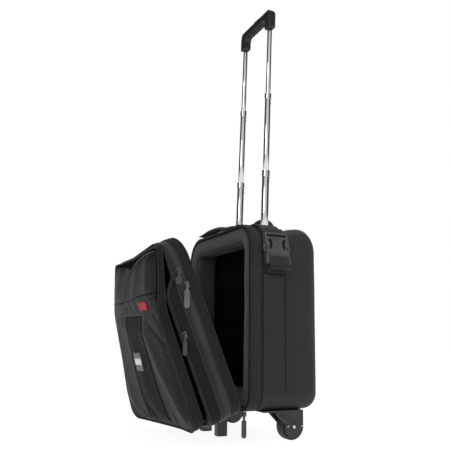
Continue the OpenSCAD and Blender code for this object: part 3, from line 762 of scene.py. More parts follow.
def case_shell(m):
    """Side walls, rounded rear edges and back panel of the padded case."""
    loop = CASE_LOOP
    rows = [row_at(loop, 0.0012, -0.0040), row_at(loop, 0.0010, -0.0018), row_at(loop, 0.0022, -0.0004)]
    rear_start = DEPTH - R_REAR
    for depth in np.concatenate([np.linspace(0.004, SEAM_DEPTHS[1] - 0.003, 26),
                                 [SEAM_DEPTHS[1] - 0.001, SEAM_DEPTHS[1] + 0.001],
                                 np.linspace(SEAM_DEPTHS[1] + 0.003, rear_start, 16)]):
        dip = sum(0.0009 * math.exp(-((depth - s) / 0.0016) ** 2) for s in SEAM_DEPTHS)
        rows.append(row_at(loop, depth, case_grow(loop, depth) - dip))
    for turn in np.radians(np.linspace(8, 90, 11)):
        depth = rear_start + R_REAR * math.sin(turn)
        grow = case_grow(loop, depth) * math.cos(turn) - R_REAR * (1 - math.cos(turn))
        rows.append(row_at(loop, depth + 0.0012 * math.sin(turn), grow))
    edge = row_at(loop, DEPTH + 0.0006, -R_REAR - 0.0035)
    rows += [row_at(loop, DEPTH - 0.0004, -R_REAR - 0.0020), edge]
    for share in (0.985, 0.96, 0.92, 0.86, 0.78, 0.68, 0.56, 0.44, 0.32, 0.20, 0.10, 0.03, 0.0):
        crown = 0.0045 * (1 - share ** 3)
        row = shrunk(edge, share)
        row[:, 1] += crown + waves(row, 0.11, 2) * 0.0012 * (1 - share)
        rows.append(row)
    piece = weld(loft("case_walls", rows, m["case"]))
    keep(piece, "case", "case_fabric", "case_shell")


def back_panel_trim(m):
    """Piping round the back panel, and its sewn line."""
    loop = CASE_LOOP
    path = row_at(loop, DEPTH + 0.0008, -R_REAR - 0.0018)
    keep(tube("back_panel_piping", path, 0.0019, m["piping"]), "case", "binding")
    inner = shrunk(row_at(loop, DEPTH + 0.0018, -R_REAR - 0.0035), 0.965)
    normals = same((0.0, 1.0, 0.0), len(inner))
    keep(stitches("back_panel_stitches", inner, normals, m["thread"]), "case", "binding")


def mouth_border(m):
    """The padded frame round the open mouth: a stuffed ring that rolls over into the compartment."""
    outer = rounded_loop(WIDTH - 2 * WALL - 0.0008, HEIGHT - 2 * WALL - 0.0008, R_TOP - WALL, R_BOTTOM - WALL,
                         BASE + WALL + 0.0004)
    mouth = rounded_loop(WIDTH - 2 * BORDER, HEIGHT - 2 * BORDER, R_MOUTH, R_MOUTH, BASE + BORDER)
    rows = []

    def across(share, depth, grow=0.0):
        edge, inner = row_at(outer, depth), row_at(mouth, depth, grow)
        rows.append(edge + (inner - edge) * share)

    across(0.0, 0.060)
    across(0.0, 0.030)
    across(0.0, 0.0042)
    for share, depth in ((0.03, 0.0016), (0.10, -0.0004), (0.22, -0.0016), (0.38, -0.0022), (0.54, -0.0020),
                         (0.70, -0.0010), (0.82, 0.0006), (0.90, 0.0026), (0.955, 0.0056), (0.99, 0.0100)):
        across(share, depth)
    for depth in (0.016, 0.024, 0.033, 0.042, 0.051, 0.060):
        across(1.0, depth, 0.0012 * math.sin(math.pi * depth / 0.066))
    rows.append(rows[0])
    piece = weld(loft("mouth_border", rows, m["border"]))
    held = [i for i, v in enumerate(piece.data.vertices)
            if v.co.y > FRONT + 0.048 or np.abs(outer[0] - (v.co.x, v.co.z)).sum(1).min() < 0.003]
    puff(piece, held, 2.5, 0.002, 0.004, 20.0)
    smooth_more(piece)
    keep(piece, "case", "border_fabric", "foam_frame")
    seam = row_at(mouth, 0.0040, 0.0045)
    keep(tube("mouth_seam_cord", seam, 0.0009, m["binding"], 6), "case", "binding")


def back_cushion(m):
    """The soft panel at the back of the compartment, sewn down in a cross of two channels."""
    width, height = WIDTH - 2 * BORDER, HEIGHT - 2 * BORDER
    columns, lines = 56, 72
    rows = []
    for j in range(lines + 1):
        v = j / lines
        row = []
        for i in range(columns + 1):
            u = i / columns
            rim = (1 - (2 * u - 1) ** 8) * (1 - (2 * v - 1) ** 8)
            channel = max(math.exp(-((v - c) * height / 0.004) ** 2) for c in (0.333, 0.667))
            channel = max(channel, math.exp(-((u - 0.5) * width / 0.004) ** 2))
            out = 0.0045 * rim - 0.0035 * channel * rim
            row.append(((u - 0.5) * width, FRONT + MOUTH_DEPTH + 0.004 - out, BASE + BORDER + v * height))
        rows.append(row)
    rows = np.array(rows)
    rows[..., 1] += waves(rows, 0.03, 3) * 0.0006
    # The lining colour is partly painted shade for the deep shade inside the compartment
    piece = loft("back_cushion", rows, m["lining"], closed=False)
    keep(piece, "case", "lining", "back_pad")


def zip_tape(name, loop, depths, place_row, m):
    """The cloth edge of an open zip: three depths along its outer face and back along its inner one."""
    grows = (-0.0048, -0.0046, -0.0044, -0.0038, -0.0038, -0.0038)
    rows = [place_row(loop, d, g) for d, g in zip(depths + depths[::-1], grows)]
    return loft(name, rows, m["tape"])


def zip_teeth(name, line, pitch, size, m):
    places, ahead = spaced(line, pitch)
    return bits(name, places, same((0.0, 1.0, 0.0), len(places)), ahead, size, m["black"])


def mouth_piping(m):
    """The cord round the mouth's outer edge, and the open half of the main zip."""
    loop = CASE_LOOP
    path = row_at(loop, 0.0010, 0.0002)
    keep(tube("mouth_piping", path, 0.0021, m["piping"], 10), "case", "binding", "body_piping")
    keep(zip_tape("main_zip_tape_case", loop, (0.0030, -0.0002, -0.0028), row_at, m), "case", "zip_tape")
    line = row_at(loop, -0.0030, -0.0041)
    teeth = zip_teeth("main_zip_teeth_case", line, 0.0027, (0.0026, 0.0015, 0.0013), m)
    keep(teeth, "case", "black_plastic")


def ribbed(first, last, starts, rib, pitch=1.0):
    """A tape's profile of (depth, lift) pairs: a flat edge, a rib from each of starts, and a flat edge."""
    flat = 0.0001
    return [(first, flat), *((start + t * pitch, lift) for start in starts for t, lift in rib), (last, flat)]


def side_tapes(m):
    """Ribbed tape round the case behind the mouth, and its sewn edges."""
    loop = FINE_LOOP
    pitch = 0.0056
    starts = [0.0045 + k * pitch for k in range(4)]
    rib = ((0.0, 0.0005), (0.18, 0.0017), (0.42, 0.0021), (0.66, 0.0017), (0.84, 0.0005))
    profile = ribbed(0.0036, 0.0272, starts, rib, pitch)
    rows = [row_at(loop, d, case_grow(loop, d) + g) for d, g in profile]
    piece = loft("side_zip_tape", rows, m["tape"])
    keep(piece, "case", "zip_tape", "body_zip_tape")
    for index, depth in enumerate((0.0038, 0.0290)):
        path = row_at(CASE_LOOP, depth, case_grow(CASE_LOOP, depth) + 0.0007)
        keep(tube(f"side_tape_cord_{index + 1}", path, 0.0012, m["binding"], 6), "case", "binding")
    depth = 0.0325
    path = row_at(CASE_LOOP, depth, case_grow(CASE_LOOP, depth) + 0.0002)
    keep(stitches("side_tape_stitches", path, normals_3d(CASE_LOOP), m["thread"]), "case", "zip_tape")


def seam_piping(m):
    """The corded seam half way back, over the top and down both sides."""
    depth = SEAM_DEPTHS[1]
    path = row_at(CASE_LOOP, depth, case_grow(CASE_LOOP, depth) + 0.0002)
    high = path[:, 2] > BASE + R_BOTTOM
    start = int(np.argmax(high))
    count = int(high.sum())
    run = path[start:start + count]
    keep(tube("seam_piping", run, 0.0012, m["binding"], 8, closed=False), "case", "binding", "seam_piping")
    across = normals_3d(CASE_LOOP)[start:start + count]
    for edge, word in EDGES:
        line = run + np.array([0, edge * 0.0038, 0])
        keep(stitches(f"seam_stitches_{word}", line, across, m["thread"], closed=False), "case", "binding")


def hinge_fabric(m):
    """The flexible strip under the mouth that joins the lid's rim to the case."""
    lid_edge = OPEN @ Vector((0, FRONT - RIM - 0.008, BASE + 0.001))
    start = Vector((0, FRONT + 0.012, BASE - 0.0012))
    rows = []
    steps = 14
    for k in range(steps + 1):
        t = k / steps
        middle = start.lerp(lid_edge, t)
        sag = -0.0022 * math.sin(math.pi * t)
        rows.append([(x, middle.y, middle.z + sag + 0.0004 * math.sin(x * 160) * math.sin(math.pi * t))
                     for x in np.linspace(-0.128, 0.128, 60)])
    under = [[(x, y, z - 0.0012) for x, y, z in row] for row in rows]
    loop = [row + line[::-1] for row, line in zip(rows, under)]
    piece = outward(loft("hinge_fabric", loop, m["case"], ends=True))
    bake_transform(piece)
    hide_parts("hinge_strip")


def strap_between(name, material, path, normals, width, thick, middle):
    """A flat webbing strap along a path, with rounded raised edges; width lies along Y."""
    half, ribs, edge = width / 2, 9, 0.0012
    section = [(-half, 0.0), (-half - 0.0002, thick * 0.6), (-half + edge, thick * 1.15)]
    section += [(-half + edge + (width - 2 * edge) * k / ribs, thick * (1 + 0.12 * (k % 2)))
                for k in range(1, ribs)]
    section += [(half - edge, thick * 1.15), (half + 0.0002, thick * 0.6), (half, 0.0)]
    rows = []
    for p, n in zip(path, normals):
        rows.append([np.array((p[0], middle + dy, p[2])) + n * lift for dy, lift in section])
    return outward(loft(name, rows, material, ends=True))


def case_run(low, high, side, depth, top_reach=None):
    """The part of the case's outline between two heights on one side, with its normals. top_reach carries it
    on over the corner to that distance from the middle."""
    points, normals = FINE_LOOP
    grow = case_grow(FINE_LOOP, depth)
    x, z = points[:, 0] * side, points[:, 1]
    chosen = (x > HALF * 0.3) & (z >= low) & (z <= high)
    if top_reach is not None:
        chosen |= (x > top_reach) & (z > TOP - R_TOP)
    index = np.nonzero(chosen)[0]
    path = np.stack([points[index, 0] + normals[index, 0] * grow[index], np.full(len(index), FRONT + depth),
                     points[index, 1] + normals[index, 1] * grow[index]], 1)
    return path, np.stack([normals[index, 0], np.zeros(len(index)), normals[index, 1]], 1)


def straps(m):
    """Each side's wide strap down the case, and the short one over the corner that holds the buckle."""
    for side, word in SIDES:
        path, normals = case_run(BASE + R_BOTTOM + 0.004, BASE + 0.306, side, STRAP_MIDDLE)
        strap = strap_between(f"side_strap_{word}", m["webbing"], path[::2], normals[::2],
                              SIDE_STRAP_W, 0.0015, FRONT + STRAP_MIDDLE)
        keep(strap, "case", "webbing", "side_straps")
        for edge, end in EDGES:
            line = path + normals * 0.0019 + np.array([0, edge * (SIDE_STRAP_W / 2 - 0.0035), 0])
            sewn = stitches(f"strap_stitches_{word}_{end}", line, normals, m["thread"], closed=False)
            keep(sewn, "case", "webbing")
        path, normals = case_run(TOP - 0.043, TOP, side, STRAP_MIDDLE, HALF - 0.059)
        strap = strap_between(f"top_strap_{word}", m["webbing"], path, normals, WEBBING_W, 0.0017,
                              FRONT + STRAP_MIDDLE)
        keep(strap, "case", "webbing", "top_straps")
        upper = path[:, 2] > TOP - 0.034
        fold = strap_between(f"top_strap_fold_{word}", m["webbing"], (path + normals * 0.0030)[upper],
                             normals[upper], WEBBING_W + 0.002, 0.0030, FRONT + STRAP_MIDDLE)
        keep(fold, "case", "webbing")


BUCKLE_TILT = math.radians(10)


def buckle_place(side):
    """The frame that the buckle is drawn in: its face towards +X, its length down -Z."""
    matrix = Matrix.Translation((HALF - 0.0035, FRONT + STRAP_MIDDLE + 0.002, TOP - 0.034))
    matrix = matrix @ Matrix.Rotation(-BUCKLE_TILT, 4, "Y")
    return matrix if side > 0 else Matrix.Scale(-1, 4, (1, 0, 0)) @ matrix


def strap_tails(m):
    """The webbing that passes up through the plug's bars and folds back down over them, with a rolled end."""
    for side, word in SIDES:
        route = [(0.0012, -0.084), (0.0012, -0.070), (0.0012, -0.056), (0.0014, -0.0500), (0.0030, -0.0477),
                 (0.0070, -0.0474), (0.0115, -0.0474), (0.0150, -0.0478), (0.0168, -0.0500), (0.0172, -0.056),
                 (0.0168, -0.063), (0.0164, -0.070), (0.0160, -0.0755), (0.0172, -0.0790), (0.0196, -0.0795),
                 (0.0206, -0.0770), (0.0196, -0.0750)]
        fine = smooth_line(np.array([(x, 0.0, z) for x, z in route]), 64)
        ahead = np.gradient(fine, axis=0)
        ahead /= np.linalg.norm(ahead, axis=1)[:, None]
        normals = np.cross(ahead, (0.0, 1.0, 0.0))
        matrix = buckle_place(side)
        strap = strap_between(f"strap_tail_cloth_{word}", m["webbing"], fine - normals * 0.0009, normals,
                              WEBBING_W, 0.0017, 0.0)
        strap.data.transform(matrix)
        outward(strap)
        keep(strap, f"buckle_{word}", "webbing", f"strap_tail_{word}")


def plate(name, outline, holes, thick, round_by, material):
    """A flat moulded plate in the Y-Z plane, front at x = 0: an outline with holes and rounded edges."""
    curve = bpy.data.curves.new(name, "CURVE")
    curve.dimensions = "2D"
    curve.fill_mode = "BOTH"
    curve.extrude = thick / 2 - round_by
    curve.bevel_depth = round_by
    curve.bevel_resolution = 2
    curve.offset = -round_by
    for loop in (outline, *holes):
        spline = curve.splines.new("POLY")
        spline.points.add(len(loop) - 1)
        spline.use_cyclic_u = True
        for point, (y, z) in zip(spline.points, loop):
            point.co = (y, z, 0, 1)
    holder = bpy.data.objects.new(name + "_outline", curve)
    scene.collection.objects.link(holder)
    mesh = bpy.data.meshes.new_from_object(holder.evaluated_get(bpy.context.evaluated_depsgraph_get()))
    bpy.data.objects.remove(holder)
    bpy.data.curves.remove(curve)
    mesh.name = name
    mesh.transform(Matrix(((0, 0, 1, -thick / 2), (1, 0, 0, 0), (0, 1, 0, 0), (0, 0, 0, 1))))
    piece = bpy.data.objects.new(name, mesh)
    scene.collection.objects.link(piece)
    mesh.materials.clear()
    mesh.materials.append(material)
    weld(piece, 0.00001)
    return piece


def corner_loop(corners):
    """A closed outline through (y, z, radius) corners, each rounded off by its radius."""
    loop = []
    steps = 5
    count = len(corners)
    for k, (y, z, r) in enumerate(corners):
        here = Vector((y, z))
        before = (Vector(corners[k - 1][:2]) - here).normalized()
        after = (Vector(corners[(k + 1) % count][:2]) - here).normalized()
        for j in range(steps + 1):
            t = j / steps
            loop.append(here + before * r * (1 - t) ** 2 + after * r * t ** 2)
    return [tuple(point) for point in loop]


def kidney(side):
    """The curved window that shows a prong through the buckle's face."""
    middle, inner, outer = Vector((side * 0.0290, -0.0175)), 0.0095, 0.0168
    loop = []
    for radius, angles in ((outer, np.linspace(125, 236, 14)), (inner, np.linspace(228, 132, 12))):
        for a in np.radians(angles):
            loop.append((middle.x + side * radius * math.cos(a), middle.y + radius * math.sin(a)))
    return loop


def buckle_sockets(m):
    """The socket half of each side's buckle: a waisted shell with two windows and a bar for the strap."""
    half, low = 0.031, -0.042
    outline = []
    for side in (1, -1):
        run = [(half - 0.001, 0.010, 0.003), (half, -0.004, 0.001), (half, -0.0185, 0.003),
               (half - 0.006, -0.022, 0.003), (half - 0.007, -0.030, 0.003), (half - 0.0015, -0.0345, 0.003),
               (half, low, 0.0025)]
        outline += [(side * y, z, r) for y, z, r in (run if side > 0 else run[::-1])]
    slot = corner_loop([(-0.0255, 0.0058, 0.0018), (0.0255, 0.0058, 0.0018), (0.0255, 0.0004, 0.0018),
                        (-0.0255, 0.0004, 0.0018)])
    channel = corner_loop([(-0.0275, -0.0050, 0.002), (0.0275, -0.0050, 0.002), (0.0225, -0.0300, 0.002),
                           (0.0275, low + 0.001, 0.0005), (-0.0275, low + 0.001, 0.0005),
                           (-0.0225, -0.0300, 0.002)])
    edge = corner_loop(outline)
    for side, word in SIDES:
        layers = (("face", [slot, kidney(1), kidney(-1)], 0.0030, 0.0009, 0.0142),
                  ("walls", [slot, channel], 0.0064, 0.0003, 0.0114),
                  ("back", [slot], 0.0028, 0.0008, 0.0050))
        for index, (part, holes, thick, round_by, front) in enumerate(layers):
            piece = plate(f"buckle_{part}_{word}", edge, holes, thick, round_by, m["grey"])
            piece.data.transform(buckle_place(side) @ Matrix.Translation((front, 0, 0)))
            outward(piece)
            keep(piece, "case", "grey_plastic", *(() if index else (f"buckle_socket_{word}",)))
        for hand, end in ((1, "rear"), (-1, "front")):
            bow = smooth_line(np.array([(0.0092, hand * y, z) for y, z in (
                (0.0255, -0.0400), (0.0290, -0.0345), (0.0325, -0.0295), (0.0328, -0.0240), (0.0300, -0.0195),
                (0.0250, -0.0170))]), 26)
            arm = outward(tube(f"buckle_arm_{end}_{word}", bow, 0.0024, m["grey"], 12, closed=False))
            arm.data.transform(buckle_place(side))
            keep(arm, f"buckle_{word}", "grey_plastic")


def grab_handle(name, node, m, half, depth, rise, base, width, thick, peak=0.0):
    """A flat padded handle: thin sewn ends and a stuffed middle that arches up between them. peak moves the
    arch's highest point off the middle, as a share of the half length."""
    count = 72
    slot = "case_fabric"
    rows, lines = [], {-1: [], 1: []}
    for k in range(count + 1):
        t = 2 * k / count - 1
        x = half * t
        off = (t - peak) / (1 - math.copysign(peak, t - peak))
        bend = max(0.0, 1 - (abs(off) / 0.88) ** 2.3)
        z = base + rise * bend
        fall = -2.3 * rise * (abs(off) / 0.88) ** 1.3 / 0.88 * math.copysign(1, off) if bend > 0 else 0
        slope = math.atan2(fall, half)
        stuffed = max(0.0, 1 - (abs(t) / 0.80) ** 4)
        deep = thick * (0.30 + 0.70 * stuffed)
        wide = width * (1.0 - 0.10 * stuffed)
        ring = []
        for c, s in turns(20):
            y = wide / 2 * math.copysign(abs(c) ** 0.7, c)
            up = deep / 2 * math.copysign(abs(s) ** 0.85, s)
            ring.append((x - up * math.sin(slope), FRONT + depth + y, z + deep / 2 + up * math.cos(slope)))
        rows.append(ring)
        for edge in (-1, 1):
            lines[edge].append((x - deep * 0.44 * math.sin(slope), FRONT + depth + edge * wide * 0.40,
                                z + deep / 2 + deep * 0.44 * math.cos(slope)))
    piece = outward(loft(name, rows, m["webbing"], ends=True))
    keep(piece, "case", slot, node)
    up = same((0.0, 0.0, 1.0), count + 1)
    for edge, word in EDGES:
        sewn = stitches(f"{name}_stitches_{word}", np.array(lines[edge]), up, m["thread"], closed=False)
        keep(sewn, "case", slot)


def sewn_tab(name, m, middle, length, width, thick):
    """A small rounded pad of cloth, thin at its edge."""
    rows = []
    for share, up in ((1.0, -0.5), (1.02, 0.0), (1.0, 0.35), (0.93, 0.5), (0.80, 0.42), (0.5, 0.46),
                      (0.02, 0.5)):
        ring = []
        for c, s in turns(40):
            x = length / 2 * share * math.copysign(abs(c) ** 0.35, c)
            y = width / 2 * share * math.copysign(abs(s) ** 0.35, s)
            ring.append((middle.x + x, middle.y + y, middle.z + up * thick))
        rows.append(ring)
    return outward(loft(name, rows, m["case"]))


def handle_ends(m):
    """The sewn end tabs that hold both grab handles down, each with a cross of stitches."""
    front_x = 0.112
    for side, word in SIDES:
        middle = Vector((side * (front_x + 0.002), FRONT + 0.013, TOP + 0.0006))
        tab = sewn_tab(f"handle_tab_{word}", m, middle, 0.034, 0.030, 0.0024)
        keep(tab, "case", "case_fabric", "handle_tabs")
        corners = [(-1, -1), (1, -1), (1, 1), (-1, 1), (-1, -1), (1, 1)]
        path = np.array([middle + Vector((cx * 0.013, cy * 0.011, 0.0016)) for cx, cy in corners])
        dense = np.concatenate([np.linspace(a, b, 12) for a, b in zip(path[:-1], path[1:])])
        up = same((0.0, 0.0, 1.0), len(dense))
        keep(stitches(f"handle_tab_stitches_{word}", dense, up, m["thread"], closed=False, pitch=0.0034),
             "case", "case_fabric")


# ---------- the lid ----------

def face_depth(height, values, steps=STEPS, soft=0.014):
    """Depth of a stepped lid layer at a height over the underside, with its steps rounded off."""
    height = np.asarray(height, float)
    return np.mean([np.interp(height + s, steps, values) for s in np.linspace(-soft, soft, 9)], axis=0)


def organiser_depth(height):
    return face_depth(height, ORGANISER_FACE, ORGANISER_STEPS, 0.006)


def twist(x, height):
    """How far the stuffed left half of the pocket stands forward at its foot, and falls back at its top."""
    left = np.clip((0.10 - np.asarray(x, float)) / 0.278, 0, 1) ** 1.2
    return left * np.interp(height, (0, 0.08, 0.16, 0.26, LID_CREST), (0.024, 0.019, 0.006, -0.008, -0.006))


def lid_row(loop, depth, grow=0.0):
    return row_at(loop, -np.asarray(depth), grow)


def open_up(piece, sags=True):
    """Turns a piece drawn on the closed lid to its place at rest. The tray's soft top sags, most at its left,
    and the pocket's stuffed top right corner stands up."""
    points = points_of(piece)
    x, z = points[:, 0], points[:, 2]
    if sags:
        near_top = np.clip((z - TOP + 0.13) / 0.13, 0, 1) ** 2
        points[:, 2] -= near_top * (0.012 + 0.013 * np.clip((0.12 - x) / 0.16, 0, 1))
    else:
        near_top = np.clip((z - BASE) / LID_CREST, 0, 1) ** 6
        points[:, 2] += near_top * 0.008 * np.clip((x - 0.02) / 0.09, 0, 1)
        near_foot = np.clip(1 - (z - BASE) / 0.10, 0, 1) ** 2
        points[:, 2] += near_foot * (0.007 + 0.006 * np.clip(0.5 - x / WIDTH, 0, 1))
    move_to(piece, points)
    piece.data.transform(OPEN)
    return piece


def keep_on_lid(piece, slot, *replaced, sags=True):
    return keep(open_up(piece, sags), "lid", slot, *replaced)


ORGANISER_LOOP = rounded_loop(WIDTH, ORGANISER_H, R_TOP - 0.004, R_BOTTOM, BASE)
POCKET_LOOP = rounded_loop(WIDTH, LID_CREST, 0.014, 0.034, BASE)


def lid_tray(m):
    """The lid's own tray: a soft dish whose rim meets the case's mouth."""
    loop = CASE_LOOP
    swell = waves(lid_row(loop, 0.03), 0.08, 4) * 0.0008
    r = 0.004
    flat = TRAY_FRONT - r
    rim = ((0.034, -0.0054), (0.014, -0.0054), (0.0098, -0.0050), (0.0090, -0.0030), (0.0094, -0.0010),
           (0.0110, 0.0))
    rows = [lid_row(loop, depth, grow) for depth, grow in rim]
    for depth in np.linspace(0.014, flat, 16):
        t = (depth - 0.030) / (flat - 0.030)
        belly = 0.0016 * math.sin(math.pi * min(max(t, 0), 1))
        rows.append(lid_row(loop, depth, swell + belly))
    for turn in np.radians((25, 50, 75, 90)):
        rows.append(lid_row(loop, flat + r * math.sin(turn), swell - r * (1 - math.cos(turn))))
    edge = rows[-1]
    for share in (0.985, 0.96, 0.92, 0.84, 0.6, 0.3, 0.0):
        rows.append(shrunk(edge, share, (0, -0.0015 * (1 - share), 0)))
    piece = keep_on_lid(weld(loft("lid_tray_cloth", rows, m["tray"])), "case_fabric", "lid_tray")


def lid_liner(m):
    """The padded lining inside the lid, quilted in diamonds."""
    inner = rounded_loop(WIDTH - 2 * WALL - 0.001, HEIGHT - 2 * WALL - 0.001, R_TOP - WALL, R_BOTTOM - WALL,
                         BASE + WALL + 0.0005)
    start = lid_row(inner, 0.0385)
    rows = [lid_row(inner, 0.0105), lid_row(inner, 0.024), start]
    for share in np.linspace(0.99, 0.0, 46):
        row = shrunk(start, share)
        rise = 0.0035 * (1 - share ** 12)
        u = (row[:, 0] + (row[:, 2] - BASE)) / 0.075
        v = (row[:, 0] - (row[:, 2] - BASE)) / 0.075
        quilt = np.minimum(np.abs(np.sin(math.pi * u)), np.abs(np.sin(math.pi * v))) ** 0.6
        row[:, 1] += rise * (0.35 + 0.65 * quilt)
        rows.append(row)
    piece = keep_on_lid(weld(loft("lid_liner", rows, m["lining"])), "lining", "lid_lining")


def lid_rim(m):
    """Piping, ribbed tape and zip teeth round the lid's rim."""
    loop = CASE_LOOP
    piping = tube("lid_rim_piping", lid_row(loop, 0.0090, 0.0001), 0.0021, m["piping"], 10)
    keep_on_lid(piping, "binding", "lid_piping")
    rib = ((0.0, 0.0003), (0.16, 0.0019), (0.34, 0.0026), (0.52, 0.0019), (0.66, 0.0005), (0.86, 0.0003))
    profile = ribbed(0.0112, 0.0322, (0.0118, 0.0185, 0.0252), rib, 0.0066)
    rows = [lid_row(FINE_LOOP, d, g) for d, g in profile]
    keep_on_lid(loft("lid_rim_tape", rows, m["binding"]), "zip_tape")
    tape = zip_tape("main_zip_tape_lid", loop, (0.0105, 0.0082, 0.0066), lid_row, m)
    keep_on_lid(tape, "zip_tape")
    line = lid_row(loop, 0.0064, -0.0041)
    teeth = zip_teeth("main_zip_teeth_lid", line, 0.0027, (0.0024, 0.0015, 0.0013), m)
    keep_on_lid(teeth, "black_plastic")


def tray_zip(m):
    """The organiser's zip: a tape with two cords and a coil between them, round the lid."""
    first, tall = TRAY_FRONT - 0.0090, 0.0022
    cord = [(t, tall * lift)
            for t, lift in ((0.0, 0.3), (0.0010, 0.85), (0.0020, 1.0), (0.0030, 0.85), (0.0040, 0.3))]
    profile = ribbed(first, first + 0.0138, (first + 0.0006, first + 0.0086), cord)
    rows = [lid_row(FINE_LOOP, d, g) for d, g in profile]
    keep_on_lid(loft("tray_zip_cloth", rows, m["piping"]), "zip_tape", "tray_zip_tape")
    line = lid_row(CASE_LOOP, first + 0.0066, 0.0006)
    teeth = zip_teeth("tray_zip_teeth", line, 0.0022, (0.0034, 0.0014, 0.0012), m)
    keep_on_lid(teeth, "black_plastic")


def organiser(m):
    """The organiser section in front of the tray, whose front steps back above its knee."""
    loop = ORGANISER_LOOP
    height = loop[0][:, 1] - BASE
    front = np.maximum(organiser_depth(height), TRAY_FRONT + 0.002)
    rows = []
    r, inset = 0.003, 0.0006
    swell = waves(lid_row(loop, 0.07), 0.06, 5) * 0.0010
    for t in np.linspace(0, 1, 12):
        depth = TRAY_FRONT - 0.001 + (front - r - TRAY_FRONT) * t
        rows.append(lid_row(loop, depth, (swell + 0.0014) * math.sin(math.pi * t) ** 0.8 - inset))
    for turn in np.radians((35, 70, 90)):
        rows.append(lid_row(loop, front - r + r * math.sin(turn), -inset - r * (1 - math.cos(turn))))
    edge = rows[-1]
    for share in (0.985, 0.96, 0.9, 0.8, 0.65, 0.45, 0.25, 0.0):
        row = shrunk(edge, share)
        row[:, 1] = FRONT - np.maximum(organiser_depth(row[:, 2] - BASE), TRAY_FRONT + 0.002)
        rows.append(row)
    # The organiser cloth's colour is partly painted shade for the recess between the pocket and the tray
    keep_on_lid(weld(loft("organiser_cloth", rows, m["soft"])), "case_fabric", "organiser_shell")
    path = lid_row(loop, front - 0.0006, -0.0004)
    keep_on_lid(tube("organiser_piping", path, 0.0021, m["piping"], 10), "binding", "pocket_zip_tape")
    path = lid_row(loop, front + 0.0016, -0.0042)
    keep_on_lid(tube("pocket_zip_coil", path, 0.0016, m["black"], 8), "black_plastic")


def bellows(m):
    """The black gusset that lets the front pocket stand off the organiser, with two soft pleats."""
    outer = rounded_loop(WIDTH - 0.020, LID_CREST - 0.008, 0.020, 0.034, BASE + 0.006)
    height = outer[0][:, 1] - BASE
    back, front = organiser_depth(height), face_depth(height, GUSSET_FACE) + twist(outer[0][:, 0], height)
    rows = []
    ripple = waves(lid_row(outer, 0.09), 0.02, 6) * 0.0012
    for t in np.linspace(-0.1, 1.1, 17):
        pleat = -0.0055 * (1 - math.cos(4 * math.pi * min(max(t, 0), 1))) / 2
        rows.append(lid_row(outer, back + (front - back) * t, pleat - 0.002 + ripple))
    # The gusset's near-black lining colour is partly painted shade
    keep_on_lid(loft("pocket_bellows", rows, m["lining"]), "lining", "pocket_gusset", sags=False)


def pocket_edge_depth(x, height):
    return face_depth(height, POCKET_FACE) + twist(x, height)


def pocket_half(height):
    """Half of the pocket's width at a height, narrower in its round corners."""
    half = HALF
    for low, high, r in ((0.0, 0.034, 0.034), (LID_CREST - 0.014, LID_CREST, 0.014)):
        if low <= height <= high:
            away = (high - height) if low == 0.0 else (height - low)
            half = HALF - r + math.sqrt(max(r * r - away * away, 0.0))
    return half


def pocket_bulge(x, height):
    """How far the stuffed pocket stands in front of its flat face."""
    across = 1 - (abs(x) / HALF) ** 4
    upright = math.sin(math.pi * min(max(height / LID_CREST, 0), 1)) ** 0.5
    low = math.exp(-((height - 0.12) / 0.10) ** 2)
    return across * upright * (0.004 + 0.006 * low)


def pocket_sides(m):
    """The leatherette strip round the pocket's edge, with a binding on each side of it."""
    loop = POCKET_LOOP
    height = loop[0][:, 1] - BASE
    sideways = loop[0][:, 0]
    back = face_depth(height, GUSSET_FACE) + twist(sideways, height)
    front = pocket_edge_depth(sideways, height)
    rows = []
    for t in np.linspace(0, 1, 8):
        rows.append(lid_row(loop, back + (front - back) * t, 0.0012 * math.sin(math.pi * t) - 0.0004))
    inner = [lid_row(loop, front + (back - front) * t, -0.003) for t in (0.0, 0.5, 1.0)]
    rows += inner + [rows[0]]
    keep_on_lid(weld(loft("pocket_side_strip", rows, m["leather"])), "leatherette", sags=False)
    for word, depth in (("front", front + 0.0004), ("rear", back)):
        path = lid_row(loop, depth, 0.0)
        keep_on_lid(tube(f"pocket_binding_{word}", path, 0.0020, m["binding"], 10), "binding", sags=False)


SEAM_X = -0.040


def yoke_seam(count=60):
    """The curved seam on the pocket's front: up from the band, then arching over to the top right corner."""
    points = [(SEAM_X, 0.300), (SEAM_X + 0.001, 0.322), (SEAM_X + 0.009, 0.343), (SEAM_X + 0.028, 0.360),
              (SEAM_X + 0.056, 0.372), (SEAM_X + 0.085, 0.379), (SEAM_X + 0.145, 0.383), (0.165, 0.384)]
    line = smooth_line(np.array([(x, 0, z) for x, z in points]), count)
    return line[:, [0, 2]]


def front_top(x, seam):
    """Height where the leatherette ends and the dark fold over the pocket's top begins."""
    return np.where(x < 0.006, np.interp(x, (-0.178, -0.070, 0.006), (0.386, 0.379, 0.368)),
                    np.interp(x, seam[:, 0], seam[:, 1]))


def in_yoke(x, height, seam):
    """How far inside the raised upper right panel a point lies, from 0 to 1."""
    if x < SEAM_X - 0.004 or height < 0.290:
        return 0.0
    limit = np.interp(x, seam[:, 0], seam[:, 1])
    return min(max((limit - height) / 0.012, 0.0), 1.0) * min(max((x - SEAM_X) / 0.008, 0.0), 1.0)


